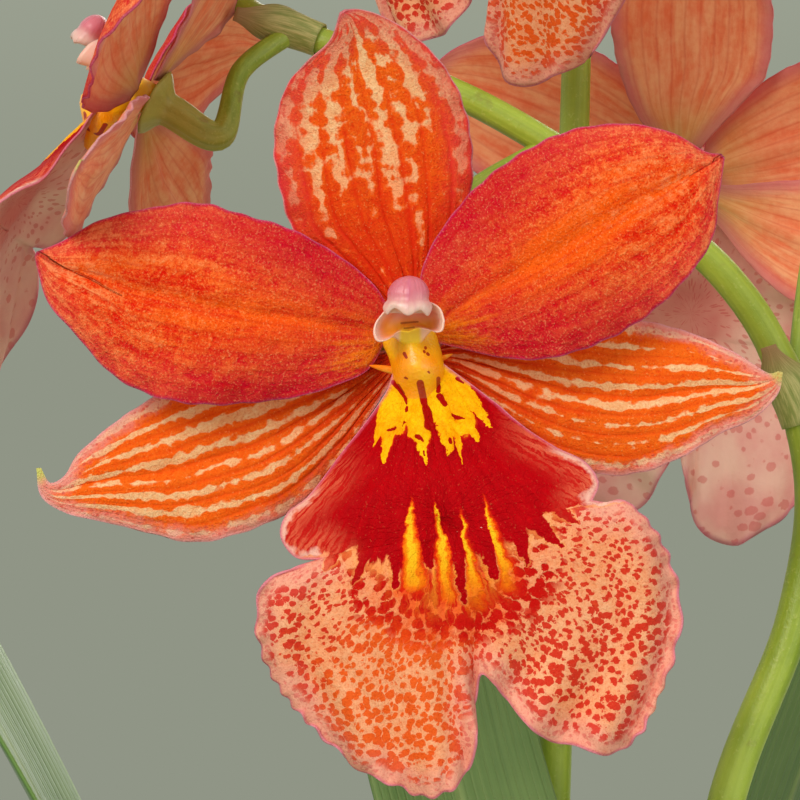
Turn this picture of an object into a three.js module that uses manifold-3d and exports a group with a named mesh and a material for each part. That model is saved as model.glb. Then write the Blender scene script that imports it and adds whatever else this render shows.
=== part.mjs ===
// Potted cambria orchid, in millimetres, +Z up. The origin is the centre of the pot's flat
// underside, and the nearest bloom faces -Y.
import * as THREE from "three";
import { mergeVertices } from "three/addons/utils/BufferGeometryUtils.js";
import Module from "manifold-3d";

const wasm = await Module();
wasm.setup();

// Clearance between pieces that touch on the real plant.
const GAP = 0.3;

// Glazed cover pot: outer radii at foot and mouth, and its wall.
const POT = { foot: 50, mouth: 66, height: 118, wall: 5, floor: 7, edge: 3, sides: 32 };

// Bark mix: mean surface height, size and heave of its chips, and cells across its surface.
const MIX = { top: 104, chip: 13, heave: 3.2, tilt: 0.3, cells: 12, seed: 7 };

// Pseudobulbs: flattened ovoids, half width by half thickness, sunk in the mix.
const BULB = { width: 17, thickness: 9.5, bottom: 94, levels: 7, sides: 10 };
const BULBS = [
  { x: -33, y: -3, height: 72, turn: 165 },
  { x: -8, y: -24, height: 78, turn: 20 },
  { x: 30, y: 0, height: 74, turn: -12 },
  { x: -2, y: 26, height: 66, turn: 8 },
];

// Leaves. tilt is the angle from upright at the foot and at the tip, aim the compass direction
// from +X towards +Y and sway its change by the tip, all in degrees. A top leaf stands on its
// bulb, a basal one beside it.
const LEAF = {
  thickness: 0.9, rows: 10, fold: 0.42, topNeck: 0.3, basalNeck: 0.62, taper: 0.985, taperPower: 3.2,
  topStep: 3, basalStep: 1.2, basalFoot: 99,
};
const LEAVES = [
  { bulb: 0, place: "top", aim: 172, tilt: [9, 84], length: 330, width: 29, sway: 24, twist: 20 },
  { bulb: 0, place: "basal", aim: 165, tilt: [24, 112], length: 265, width: 26, sway: 10, twist: 10 },
  { bulb: 1, place: "top", aim: 200, tilt: [14, 96], length: 310, width: 30, sway: 40, twist: -14 },
  { bulb: 1, place: "top", aim: 20, tilt: [2, 18], length: 118, width: 21, sway: -16, twist: 0 },
  { bulb: 1, place: "basal", aim: 200, tilt: [30, 118], length: 240, width: 25, sway: 24, twist: 12 },
  { bulb: 2, place: "top", aim: 348, tilt: [12, 92], length: 335, width: 31, sway: -10, twist: 16 },
  { bulb: 2, place: "top", aim: 168, tilt: [2, 66], length: 275, width: 27, sway: -145, twist: 0 },
  { bulb: 2, place: "basal", aim: 348, tilt: [34, 122], length: 235, width: 25, sway: -22, twist: 0 },
  { bulb: 3, place: "top", aim: 8, tilt: [6, 48], length: 310, width: 27, sway: 66, twist: -12 },
  { bulb: 3, place: "top", aim: 188, tilt: [8, 60], length: 320, width: 29, sway: -72, twist: 18 },
  { bulb: 3, place: "basal", aim: 188, tilt: [20, 104], length: 230, width: 24, sway: -62, twist: 0 },
];

// Tepal outlines in the bloom's own plane, from the foot to the tip, x to the viewer's right and
// y up. left and right are as seen looking from the foot to the tip, from the front.
// base is the depth at the foot, bow the rise at half length, tip the rise at the tip, cup the
// rise of both edges over the middle, groove the depth of the midrib, wave the edges' ripple.
const TEPAL = { thickness: 0.8, waves: 2.5, reflex: 14 };
const TEPALS = {
  dorsal_sepal: {
    left: [[-1.7, 2.5], [-4, 4.5], [-9.7, 8.7], [-12.4, 11.2], [-14, 16.8], [-14.3, 21.3],
      [-13.1, 25.9], [-10.8, 28.6], [-8.4, 30.7], [-7.3, 33.5]],
    right: [[1.7, 2.5], [3.1, 4.7], [5.5, 10], [6.6, 16.5], [6.2, 22.4], [4.5, 26.9],
      [1.6, 30.4], [-2, 32.9], [-5, 33.9], [-6.8, 33.8]],
    base: -1.45, bow: -0.6, tip: 5, cup: -1.2, groove: 0.4, wave: 0.3,
  },
  petal_left: {
    left: [[-2.8, -0.9], [-4.2, -3.4], [-6.3, -4.7], [-11, -6.3], [-15.8, -7], [-21.5, -7.3],
      [-26.8, -6.4], [-31.3, -4], [-34.9, 0], [-37.8, 3.3], [-38.9, 6.6], [-39.3, 8.2]],
    right: [[-2.2, 1.9], [-3.1, 4.3], [-5, 6.4], [-8.4, 8.9], [-12.6, 11.1], [-17.3, 12.5],
      [-22.1, 13.8], [-27.3, 13.2], [-32.5, 11.9], [-36.5, 9.7], [-39.1, 8.7]],
    base: -0.15, bow: 3.4, tip: 1.2, cup: -1.6, groove: 0.7, wave: 0.6,
  },
  petal_right: {
    left: [[1.9, 2.1], [1.1, 5.8], [2.7, 10.1], [6.7, 15.2], [11.5, 18.9], [16.8, 21.4],
      [22.6, 22.1], [27.5, 21.1], [30.9, 19.2], [32.6, 19]],
    right: [[2.8, -0.8], [5, -1.3], [9.4, -2.3], [14.2, -2.5], [19.9, -0.8], [25.2, 2.3],
      [29.4, 6.5], [31.7, 10.3], [32.3, 14.2], [33, 18.6]],
    base: -0.15, bow: 3.2, tip: 0.6, cup: -1.7, groove: 0.6, wave: 0.6,
  },
  sepal_left: {
    left: [[-0.8, -3.2], [-3.1, -6.8], [-7.3, -13.3], [-12.1, -18.2], [-17.3, -20.7],
      [-22.6, -21.9], [-27.3, -21], [-31.5, -19.9], [-36.2, -18.8], [-38.9, -17], [-39.4, -14]],
    right: [[-2.3, -1.5], [-6.3, -2.2], [-12.6, -2.6], [-18.9, -3.5], [-24.1, -5.1],
      [-28.3, -7.2], [-32, -9.8], [-35.1, -12.6], [-36.5, -14.9], [-38, -15.6], [-38.9, -14]],
    base: -1.45, bow: -1.6, tip: -0.4, cup: -0.9, groove: 0.5, wave: 0.4,
  },
  sepal_right: {
    left: [[2.4, -1.3], [6.3, 0.9], [12.6, 2], [18.9, 2.3], [24.1, 1.7], [29.4, 0.4],
      [34.1, -1.7], [37.6, -3.9], [38.8, -3.8]],
    right: [[0.8, -3.1], [4.2, -5.2], [9.4, -9.4], [14.7, -13.1], [19.4, -14.6], [24.1, -14.6],
      [28.9, -12.8], [32.8, -10.4], [36.4, -8.7], [38.8, -6.2], [39.3, -3.9]],
    base: -1.45, bow: -1.6, tip: -0.2, cup: -0.9, groove: 0.5, wave: 0.4,
  },
};

// Lip outline: each side from the foot round its shoulder to the notch, then round its lobe, and
// the split lower rim between them. right is the viewer's right.
const LIP = {
  rightShoulder: [[2.7, -2.4], [5, -4.2], [8.9, -7.1], [12.1, -9.8], [15.2, -11.8],
    [18.2, -13.3], [19.6, -15.4], [18.9, -17.3]],
  rightLobe: [[18.9, -17.3], [20.4, -17.5], [22.3, -17.3], [25, -19.8], [27.1, -23.4],
    [28.3, -28.3], [27.7, -33.1], [25.4, -38.9]],
  leftShoulder: [[-1.5, -2.4], [-2.7, -6.4], [-7.3, -12.6], [-10.5, -16.8], [-12.8, -18.7],
    [-13.5, -21], [-11.9, -23.2], [-9.4, -23.4]],
  leftLobe: [[-9.4, -23.4], [-12.6, -24.4], [-15.1, -25.7], [-16.1, -29.1], [-15.3, -33.6],
    [-13.1, -37.5], [-10.3, -40.9], [-7.6, -43.4]],
  rim: [[25.4, -38.9], [24.1, -41.5], [21.5, -43.7], [17.3, -43], [13.1, -41.5], [10, -38],
    [7.7, -35.3], [6.8, -38.3], [6.9, -43], [5, -46.8], [1.6, -48.2], [-1.9, -46.9],
    [-5.2, -45.5], [-7.6, -43.4]],
  thickness: 0.9, base: 1.7, isthmus: 7, drop: 2.6, shoulderTuck: 4.2, lobeTuck: 2.8,
  ripple: 0.9, ripples: 7, groove: 0.8, creaseAt: 0.55,
};

// Callus on the lip: a bulge with five teeth, each from its root to its point.
const CALLUS = {
  bulge: { at: [0.8, -4.9, 3.6], radii: [3.6, 2.6, 2.7] },
  root: [0.8, -5, 4.2],
  teeth: [[-3.4, -11], [-1.6, -13], [1.9, -13.2], [5, -13], [7.4, -10.6]],
  rise: 1.5, radius: 1.5, point: 0.35,
};

// Column: rings from its base to its head as height, depth and radius, then the stigma's hollow,
// the side wings, the foot that bears the lip, and the anther cap in front of its head.
const COLUMN = {
  rings: [[0, -1.9, 1.95], [0, 0.3, 1.9], [0.9, 3, 1.9], [1.5, 5, 2.3], [1.6, 6.2, 2.7]],
  stigma: { lift: -0.2, radius: 1.7, depth: 1.3 },
  wing: { from: 1.4, out: 3.7, high: 3, low: -0.9, front: 6.6, back: 3.4, taper: 0.72,
    thickness: 0.8 },
  foot: { at: [0.2, -0.5, 2.6], radii: [2.3, 1.5, 1.9] },
  cap: { at: [-0.2, 3.9, 8.3], radii: [2.5, 2.2, 1.75] },
};

// Blooms: centre, the way each faces, its roll about that, mirrored or not, how far its tepals
// bend back, and its scale. The first is the near one, whose tepals stay separate pieces.
const BLOOMS = [
  { name: "bloom_1", at: [-10, -48, 400], face: [0, -1, 0], roll: 0, mirror: 1, bend: 0, scale: 1 },
  { name: "bloom_2", at: [-40, -27, 427], face: [-0.83, 0.12, 0.45], roll: -6, mirror: 1, bend: 0.35,
    scale: 0.95 },
  { name: "bloom_3", at: [66, -4, 424], face: [0.86, -0.45, -0.2], roll: -6, mirror: -1, bend: 0.2,
    scale: 0.97 },
  { name: "bloom_4", at: [26, 46, 422], face: [0.25, 0.96, 0.05], roll: -8, mirror: 1, bend: 0.2,
    scale: 1 },
  { name: "bloom_5", at: [5, 6, 476], face: [-0.6, -0.76, -0.22], roll: -6, mirror: -1, bend: 0.3,
    scale: 0.95 },
  { name: "bloom_6", at: [42, 24, 500], face: [0.75, -0.6, -0.15], roll: 6, mirror: -1, bend: 0.2,
    scale: 0.9 },
];

// Flower spikes: the stem's route, its radius at the foot and the tip, the joints (as shares of
// its length) with their bracts, and the stalks: where each leaves and the bloom or bud it bears.
const STALK = { radius: 1.15, ovary: 1.85, sides: 6, steps: 6, back: 2.3 };
const SPIKES = {
  flower_spike_front: {
    route: [[19, -33, 97], [17, -34, 160], [16, -33, 230], [18, -29, 300], [25, -24, 348],
      [33, -21, 369], [35, -20, 384], [30.9, -20, 398.8], [24.8, -20, 407.7], [15.8, -20, 415],
      [5.8, -20, 421.7], [-4.3, -20, 427.3], [-22.3, -19.5, 434.4], [-28.7, -17, 437.5],
      [-31.5, -11, 446], [-37, -4, 456], [-47, 1, 466], [-60, 3, 474]],
    radius: [2.6, 1.1],
    bracts: [0.2, 0.42, 0.692, 0.8575],
    stalks: [
      { from: 0.692, bloom: 2 },
      { from: 0.785, bloom: 0 },
      { from: 0.8575, bloom: 1 },
      { from: 0.9215, bud: [-26, 4, 466], size: 6 },
      { from: 0.961, bud: [-54, -10, 466], size: 4.6 },
      { from: 0.995, bud: [-72, 6, 480], size: 3.4 },
    ],
    steps: 26,
  },
  flower_spike_back: {
    route: [[8, 43, 97], [7, 44, 160], [6, 43, 230], [7, 39, 300], [9, 34, 370], [11, 32, 436],
      [12, 32, 480], [15, 32, 520], [22, 32, 552]],
    radius: [2.7, 1.1],
    bracts: [0.2, 0.42, 0.66, 0.84],
    stalks: [
      { from: 0.66, bloom: 3 },
      { from: 0.77, bloom: 4 },
      { from: 0.84, bloom: 5 },
      { from: 0.91, bud: [0, 28, 526], size: 5.6 },
      { from: 0.955, bud: [34, 26, 543], size: 4.6 },
      { from: 0.995, bud: [28, 35, 567], size: 3.4 },
    ],
    steps: 16,
  },
};
const SPIKE_SIDES = 7;
const BRACT = { length: 9, flare: 1.1, sides: 6 };

const COLOURS = {
  pot: [0xe7e0d2, 0.25],
  mix: [0x5b3c26, 0.95],
  bulb: [0x7f9440, 0.5],
  leaf: [0x3f6b2a, 0.5],
  stem: [0x97a129, 0.5],
  tepal: [0xe4471b, 0.55],
  lip: [0xe8743f, 0.55],
  column: [0xeac3b1, 0.5],
  cap: [0xdc838b, 0.5],
  bud: [0xb98a3c, 0.5],
};

const orchid = new THREE.Group();
const point = (p) => new THREE.Vector3(...p);
const radians = THREE.MathUtils.degToRad;
const { lerp, smoothstep } = THREE.MathUtils;
const bell = (x, centre, width) => Math.exp(-(((x - centre) / width) ** 2));
const range = (n) => Array.from({ length: n }, (_, i) => i);

// A smooth curve through flat points, read by its share of length.
function edge(points) {
  const curve = new THREE.CatmullRomCurve3(points.map(([x, y]) => point([x, y, 0])), false, "catmullrom");
  return (u) => curve.getPointAt(u);
}

// Repeatable numbers from 0 to 1.
function draws(seed) {
  let state = seed;
  return () => {
    state = (state * 16807) % 2147483647;
    return state / 2147483647;
  };
}

function addPiece(parent, name, colour, geometry) {
  const [color, roughness] = COLOURS[colour];
  const mesh = new THREE.Mesh(geometry, new THREE.MeshStandardMaterial({ color, roughness, metalness: 0 }));
  mesh.name = name;
  parent.add(mesh);
}

function fromTriangles(points, index) {
  const geometry = new THREE.BufferGeometry().setFromPoints(points);
  geometry.setIndex(index);
  return geometry;
}

// The triangles of a grid of points, and its edge points in order.
function gridFaces(rows, cols) {
  const at = (i, j) => i * cols + j;
  const faces = range(rows - 1).flatMap((i) => range(cols - 1).flatMap((j) => {
    const [a, b, c, d] = [at(i, j), at(i, j + 1), at(i + 1, j + 1), at(i + 1, j)];
    return [[a, b, c], [a, c, d]];
  }));
  const rim = [
    ...range(cols - 1).map((j) => at(0, j)),
    ...range(rows - 1).map((i) => at(i, cols - 1)),
    ...range(cols - 1).map((j) => at(rows - 1, cols - 1 - j)),
    ...range(rows - 1).map((i) => at(rows - 1 - i, 0)),
  ];
  return { faces, rim };
}

// Closed thin solid between two like grids of points. Both faces split along the same diagonals.
function sheet(front, back) {
  const { faces, rim } = gridFaces(front.length, front[0].length);
  const under = front.length * front[0].length;
  const index = faces.flatMap(([a, b, c]) => [a, b, c, under + a, under + c, under + b]);
  rim.forEach((p, k) => {
    const q = rim[(k + 1) % rim.length];
    index.push(q, p, under + p, q, under + p, under + q);
  });
  return fromTriangles([...front.flat(), ...back.flat()], index);
}

// Closed solid through rings of like counts, turning from x towards y as they rise.
function loft(rings) {
  const sides = rings[0].length;
  const last = (rings.length - 1) * sides;
  const index = [];
  for (const i of range(rings.length - 1))
    for (const k of range(sides)) {
      const next = (k + 1) % sides;
      const [a, b, c, d] = [i * sides + k, i * sides + next, (i + 1) * sides + next, (i + 1) * sides + k];
      index.push(a, b, c, a, c, d);
    }
  for (const k of range(sides - 2)) {
    index.push(0, k + 2, k + 1);
    index.push(last, last + k + 1, last + k + 2);
  }
  return fromTriangles(rings.flat(), index);
}

function circle(centre, across, up, rx, ry, sides) {
  return range(sides).map((k) => {
    const angle = (2 * Math.PI * k) / sides;
    const sideways = centre.clone().addScaledVector(across, rx * Math.cos(angle));
    return sideways.addScaledVector(up, ry * Math.sin(angle));
  });
}

// A round stalk along a curve, with its radius given by the share of length.
function stalk(curve, radiusAt, steps, sides) {
  const frames = curve.computeFrenetFrames(steps, false);
  return loft(range(steps + 1).map((i) => {
    const u = i / steps;
    const radius = radiusAt(u);
    return circle(curve.getPointAt(u), frames.normals[i], frames.binormals[i], radius, radius, sides);
  }));
}

const smoothCurve = (points) => new THREE.CatmullRomCurve3(points);

function solidOf(geometry) {
  const bare = new THREE.BufferGeometry().setAttribute("position", geometry.getAttribute("position"));
  if (geometry.index) bare.setIndex(geometry.index);
  const merged = mergeVertices(bare, 1e-4);
  return new wasm.Manifold(new wasm.Mesh({
    numProp: 3,
    vertProperties: merged.attributes.position.array,
    triVerts: new Uint32Array(merged.index.array),
  }));
}

function geometryOf(solid) {
  const { numProp, vertProperties, triVerts } = solid.getMesh();
  const points = range(vertProperties.length / numProp)
    .map((i) => point(vertProperties.subarray(i * numProp, i * numProp + 3)));
  return fromTriangles(points, [...triVerts]);
}

const fused = (pieces) => geometryOf(pieces.map(solidOf).reduce((a, b) => a.add(b)));
const cutBy = (body, tools) =>
  geometryOf(tools.map(solidOf).reduce((a, b) => a.subtract(b), solidOf(body)));

function ellipsoid(centre, radii, around, down) {
  const geometry = new THREE.SphereGeometry(1, around, down);
  geometry.scale(...radii);
  geometry.translate(...centre);
  return geometry;
}

// Pot: one turned body with a rounded foot and a rolled mouth.
function potProfile() {
  const { foot, mouth, height, wall, floor, edge: e } = POT;
  const slope = (z) => lerp(foot, mouth, z / height);
  const bead = mouth + e / 2;
  const inside = slope(floor + e) - wall;
  return [
    [0, 0], [foot - e, 0], [foot, e], [slope(height - 3 * e), height - 3 * e],
    [bead, height - 2 * e], [bead, height - e / 2], [mouth, height], [mouth - wall + 1, height],
    [mouth - wall, height - e / 2], [inside, floor + e], [inside - e, floor], [0, floor],
  ].map(([r, z]) => new THREE.Vector2(r, z));
}

// Bark mix: the pot's filling, its top broken up into tilted chips.
function mixSurface() {
  const draw = draws(MIX.seed);
  const radius = lerp(POT.foot, POT.mouth, (MIX.top - MIX.heave) / POT.height) - POT.wall - 2 * GAP;
  const chips = range(Math.round((4 * radius * radius) / (MIX.chip * MIX.chip))).map(() => ({
    x: radius * (2 * draw() - 1),
    y: radius * (2 * draw() - 1),
    lift: MIX.heave * (draw() - 0.5),
    tilt: [MIX.tilt * (2 * draw() - 1), MIX.tilt * (2 * draw() - 1)],
  }));
  const heightAt = (x, y) => {
    const near = chips.reduce((a, b) =>
      (a.x - x) ** 2 + (a.y - y) ** 2 < (b.x - x) ** 2 + (b.y - y) ** 2 ? a : b);
    const heave = near.lift + near.tilt[0] * (x - near.x) + near.tilt[1] * (y - near.y);
    return MIX.top + THREE.MathUtils.clamp(heave, -MIX.heave, MIX.heave);
  };
  return { radius, heightAt };
}

function pottingMix() {
  const { radius, heightAt } = mixSurface();
  const n = MIX.cells + 1;
  const foot = (POT.foot - POT.wall - POT.edge - GAP) / radius;
  const points = range(n * n).map((k) => {
    const a = (2 * (k % n)) / (n - 1) - 1;
    const b = (2 * Math.floor(k / n)) / (n - 1) - 1;
    const x = radius * a * Math.sqrt(1 - (b * b) / 2);
    const y = radius * b * Math.sqrt(1 - (a * a) / 2);
    return point([x, y, heightAt(x, y)]);
  });
  const { faces, rim } = gridFaces(n, n);
  const bottom = POT.floor + GAP;
  const lower = rim.map((p) => points.push(point([points[p].x * foot, points[p].y * foot, bottom])) - 1);
  const centre = points.push(point([0, 0, bottom])) - 1;
  const index = faces.flat();
  rim.forEach((p, k) => {
    const next = (k + 1) % rim.length;
    index.push(rim[next], p, lower[k], rim[next], lower[k], lower[next]);
    index.push(lower[next], lower[k], centre);
  });
  return fromTriangles(points, index);
}

// Pseudobulb: rings of a flattened ovoid, narrow at its foot and its top.
function bulbRings(bulb, grow) {
  const turn = radians(bulb.turn);
  const along = point([Math.cos(turn), Math.sin(turn), 0]);
  const across = point([-Math.sin(turn), Math.cos(turn), 0]);
  return range(BULB.levels).map((i) => {
    const t = i / (BULB.levels - 1);
    const swell = Math.sin(Math.PI * (0.22 + 0.71 * t)) ** 0.8;
    const centre = point([bulb.x, bulb.y, BULB.bottom + bulb.height * t]);
    const [rx, ry] = [BULB.width * swell + grow, BULB.thickness * swell + grow];
    return circle(centre, along, across, rx, ry, BULB.sides);
  });
}

// A straight hole in the mix, as wide as the bulb is where it leaves the mix.
function bulbHole(bulb) {
  const rings = bulbRings(bulb, GAP);
  const widest = rings[2];
  const flat = (z) => widest.map((p) => point([p.x, p.y, z]));
  return loft([flat(BULB.bottom - GAP), flat(MIX.top + 4 * MIX.heave)]);
}

// Strap leaf: a blade folded along its midrib that rises from its foot and arches over.
function leafFoot(leaf) {
  const bulb = BULBS[leaf.bulb];
  const aim = radians(leaf.aim);
  const turn = radians(leaf.aim - bulb.turn);
  const bulbRadius = 1 / Math.hypot(Math.cos(turn) / BULB.width, Math.sin(turn) / BULB.thickness);
  const top = leaf.place === "top";
  const reach = top ? LEAF.topStep : bulbRadius + LEAF.basalStep;
  const foot = top ? BULB.bottom + bulb.height + 2 * GAP : LEAF.basalFoot;
  return point([bulb.x + reach * Math.cos(aim), bulb.y + reach * Math.sin(aim), foot]);
}

function leafBlade(leaf, grow) {
  const centre = leafFoot(leaf).sub(point([0, 0, grow]));
  const step = leaf.length / LEAF.rows;
  const [front, back] = [[], []];
  for (const i of range(LEAF.rows + 1)) {
    const t = i / LEAF.rows;
    const tilt = radians(lerp(leaf.tilt[0], leaf.tilt[1], t ** 1.5));
    const aim = radians(leaf.aim + leaf.sway * t * t);
    const twist = radians(leaf.twist * t);
    const out = point([Math.cos(aim), Math.sin(aim), 0]);
    const level = point([-Math.sin(aim), Math.cos(aim), 0]);
    const facing = out.clone().multiplyScalar(-Math.cos(tilt)).setZ(Math.sin(tilt));
    const side = level.clone().multiplyScalar(Math.cos(twist)).addScaledVector(facing, Math.sin(twist));
    const normal = facing.clone().multiplyScalar(Math.cos(twist)).addScaledVector(level, -Math.sin(twist));
    const neck = leaf.place === "top" ? LEAF.topNeck : LEAF.basalNeck;
    const tapering = Math.sqrt(1 - LEAF.taper * t ** LEAF.taperPower);
    const width = leaf.width * lerp(neck, 1, smoothstep(t, 0, 0.4)) * tapering + 2 * grow;
    const fold = (width / 2) * LEAF.fold * lerp(1, 0.5, smoothstep(t, 0, 0.5));
    const half = LEAF.thickness / 2 + grow;
    const row = [1, 0, -1].map((s) =>
      centre.clone().addScaledVector(side, (s * width) / 2).addScaledVector(normal, Math.abs(s) * fold));
    front.push(row.map((p) => p.clone().addScaledVector(normal, half)));
    back.push(row.map((p) => p.clone().addScaledVector(normal, -half)));
    const tangent = out.clone().multiplyScalar(Math.sin(tilt)).setZ(Math.cos(tilt));
    centre.addScaledVector(tangent, step);
  }
  return sheet(front, back);
}

// Tepal: a thin blade over its outline, its depth given by a formula of both shares.
function tepalDepth(shape, u, v, bend) {
  const across = 2 * v - 1;
  const middle = Math.sin(Math.PI * u);
  const ripple = Math.sin(2 * Math.PI * TEPAL.waves * u + 3 * v) * across * across;
  return shape.base + shape.bow * middle + shape.tip * u * u + shape.cup * across * across * middle
    - shape.groove * bell(across, 0, 0.12) * Math.sqrt(middle) + shape.wave * ripple * middle
    - TEPAL.reflex * bend * u * u;
}

function tepal(shape, rows, cols, bend) {
  const [left, right] = [edge(shape.left), edge(shape.right)];
  const grid = (lift) => range(rows + 1).map((i) => range(cols + 1).map((j) => {
    const [u, v] = [i / rows, j / cols];
    const p = left(u).lerp(right(u), v);
    return p.setZ(tepalDepth(shape, u, v, bend) + lift);
  }));
  return sheet(grid(TEPAL.thickness / 2), grid(-TEPAL.thickness / 2));
}

// Lip: a patch between its two sides, its foot and its split rim. Its waist is at half its rows.
function lipPoint(sides, u, v) {
  const half = u < 0.5;
  const share = half ? 2 * u : 2 * u - 1;
  const right = (half ? sides.rightShoulder : sides.rightLobe)(share);
  const left = (half ? sides.leftShoulder : sides.leftLobe)(share);
  const p = right.lerp(left, v);
  const pull = half ? 0 : share ** 1.3;
  const chord = sides.rim(0).lerp(sides.rim(1), v);
  return p.addScaledVector(sides.rim(v).sub(chord), pull);
}

function lipDepth(u, v) {
  const across = 2 * v - 1;
  const rise = lerp(LIP.base, LIP.isthmus, smoothstep(u, 0, 0.45));
  const drop = LIP.drop * smoothstep(u, 0.6, 1);
  const shoulder = LIP.shoulderTuck * bell(u, 0.36, 0.16) * across * across;
  const lobe = LIP.lobeTuck * smoothstep(u, 0.5, 0.8) * across * across;
  const side = smoothstep(u, 0.5, 0.7) * smoothstep(Math.abs(across), 0.6, 1);
  const rim = Math.max(smoothstep(u, 0.7, 1), side);
  const ripple = LIP.ripple * rim * Math.sin(2 * Math.PI * LIP.ripples * (v + 0.35 * (1 - u)));
  const groove = LIP.groove * bell(v, LIP.creaseAt, 0.06) * smoothstep(u, 0.25, 0.45);
  return rise - drop - shoulder - lobe + ripple - groove;
}

function lipBlade(rows, cols) {
  const sides = Object.fromEntries(["rightShoulder", "rightLobe", "leftShoulder", "leftLobe", "rim"]
    .map((name) => [name, edge(LIP[name])]));
  const grid = (lift) => range(rows + 1).map((i) => range(cols + 1).map((j) => {
    const [u, v] = [i / rows, j / cols];
    return lipPoint(sides, u, v).setZ(lipDepth(u, v) + lift);
  }));
  return sheet(grid(LIP.thickness / 2), grid(-LIP.thickness / 2));
}

// Callus: the bulge and its teeth, which lie on the lip and point down it.
function callusPieces(around, every) {
  const root = point(CALLUS.root);
  const teeth = CALLUS.teeth.filter((_, i) => i % every === 0).map(([x, y]) => {
    const end = point([x, y, LIP.base + 4.3]);
    const middle = root.clone().lerp(end, 0.5).setZ(root.z + CALLUS.rise);
    const curve = smoothCurve([root, middle, end]);
    return stalk(curve, (u) => lerp(CALLUS.radius, CALLUS.point, u * u), 3, around - 2);
  });
  return [ellipsoid(CALLUS.bulge.at, CALLUS.bulge.radii, around + 1, around - 1), ...teeth];
}

// Column: a stalk whose head carries two wings and the hollow of the stigma.
function columnPieces(sides) {
  const [across, up] = [point([1, 0, 0]), point([0, 1, 0])];
  const ring = (y, z, r) => circle(point([0, y, z]), across, up, r, r, sides);
  const { stigma, wing } = COLUMN;
  const [headY, headZ] = COLUMN.rings.at(-1);
  const body = loft([
    ...COLUMN.rings.map(([y, z, r]) => ring(y, z, r)),
    ring(headY + stigma.lift, headZ, stigma.radius),
    ring(headY + stigma.lift, headZ - stigma.depth, stigma.radius * 0.75),
  ]);
  const wings = [-1, 1].map((s) => {
    const span = [wing.from, wing.out];
    const rows = [wing.low, (wing.low + wing.high) / 2, wing.high];
    const grid = (lift) => rows.map((y, i) => [...span].sort((a, b) => s * (a - b)).map((x) => {
      const reach = i === 1 ? x : lerp(wing.from, x, wing.taper);
      const z = x === wing.from ? wing.back : wing.front;
      return point([s * reach, y, z + lift]);
    }));
    return sheet(grid(wing.thickness / 2), grid(-wing.thickness / 2));
  });
  return [body, ...wings];
}

const columnFoot = () => ellipsoid(COLUMN.foot.at, COLUMN.foot.radii, 10, 6);

// The collar that holds a bloom's five tepals together.
function collar() {
  const profile = [[2.5, -1.8], [4.1, -1.8], [4.1, 0.1], [2.5, 0.1], [2.5, -1.8]]
    .map(([r, z]) => new THREE.Vector2(r, z));
  return new THREE.LatheGeometry(profile, 8).rotateX(Math.PI / 2);
}

function bloomGroup(bloom) {
  const group = new THREE.Group();
  const front = point(bloom.face).normalize();
  const right = point([0, 0, 1]).cross(front).normalize();
  const up = front.clone().cross(right);
  const turn = new THREE.Matrix4().makeBasis(right, up, front);
  group.quaternion.setFromRotationMatrix(turn);
  group.rotateZ(radians(bloom.roll));
  group.position.set(...bloom.at);
  group.scale.set(bloom.scale * bloom.mirror, bloom.scale, bloom.scale);
  orchid.add(group);
  return group;
}

function addBloom(bloom, nearest) {
  const group = bloomGroup(bloom);
  const [rows, cols] = nearest ? [10, 6] : [4, 4];
  const tepals = Object.values(TEPALS).map((shape) => tepal(shape, rows, cols, bloom.bend));
  const column = fused(nearest ? [...columnPieces(10), columnFoot()] : columnPieces(7));
  if (nearest) {
    Object.keys(TEPALS).forEach((name, i) => addPiece(group, name, "tepal", tepals[i]));
    addPiece(group, "lip", "lip", fused([lipBlade(16, 14), ...callusPieces(7, 1)]));
    addPiece(group, "column", "column", column);
    addPiece(group, "anther_cap", "cap", ellipsoid(COLUMN.cap.at, COLUMN.cap.radii, 10, 7));
    return;
  }
  addPiece(group, `${bloom.name}_tepals`, "tepal", fused([collar(), ...tepals]));
  addPiece(group, `${bloom.name}_lip`, "lip", fused([lipBlade(6, 8), ...callusPieces(5, 2)]));
  addPiece(group, `${bloom.name}_column`, "column", column);
}

// Bract: a short sheath round the stem whose tip leans off it.
function bract(curve, share, radius) {
  const centre = curve.getPointAt(share);
  const tangent = curve.getTangentAt(share);
  const across = tangent.clone().cross(point([0.3, 1, 0.2])).normalize();
  const up = tangent.clone().cross(across);
  const levels = [[-0.35, 0.15, 0], [0.2, 0.8, 0.4], [0.65, -radius + 0.35, radius + BRACT.flare]];
  return loft(levels.map(([along, grow, lean]) => {
    const middle = centre.clone().addScaledVector(tangent, along * BRACT.length).addScaledVector(up, lean);
    return circle(middle, across, up, radius + grow, radius + grow, BRACT.sides);
  }));
}

// The route of a stalk: out of the stem, round, and into the back of its bloom or bud.
function stalkCurve(stem, share, end, back) {
  const start = stem.getPointAt(share);
  const reach = start.distanceTo(end);
  const behind = end.clone().addScaledVector(back, 0.42 * reach);
  const away = start.clone().lerp(behind, 0.45).addScaledVector(stem.getTangentAt(share), 0.12 * reach);
  return smoothCurve([start, away, behind, end.clone().addScaledVector(back, 0.12 * reach), end]);
}

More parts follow.
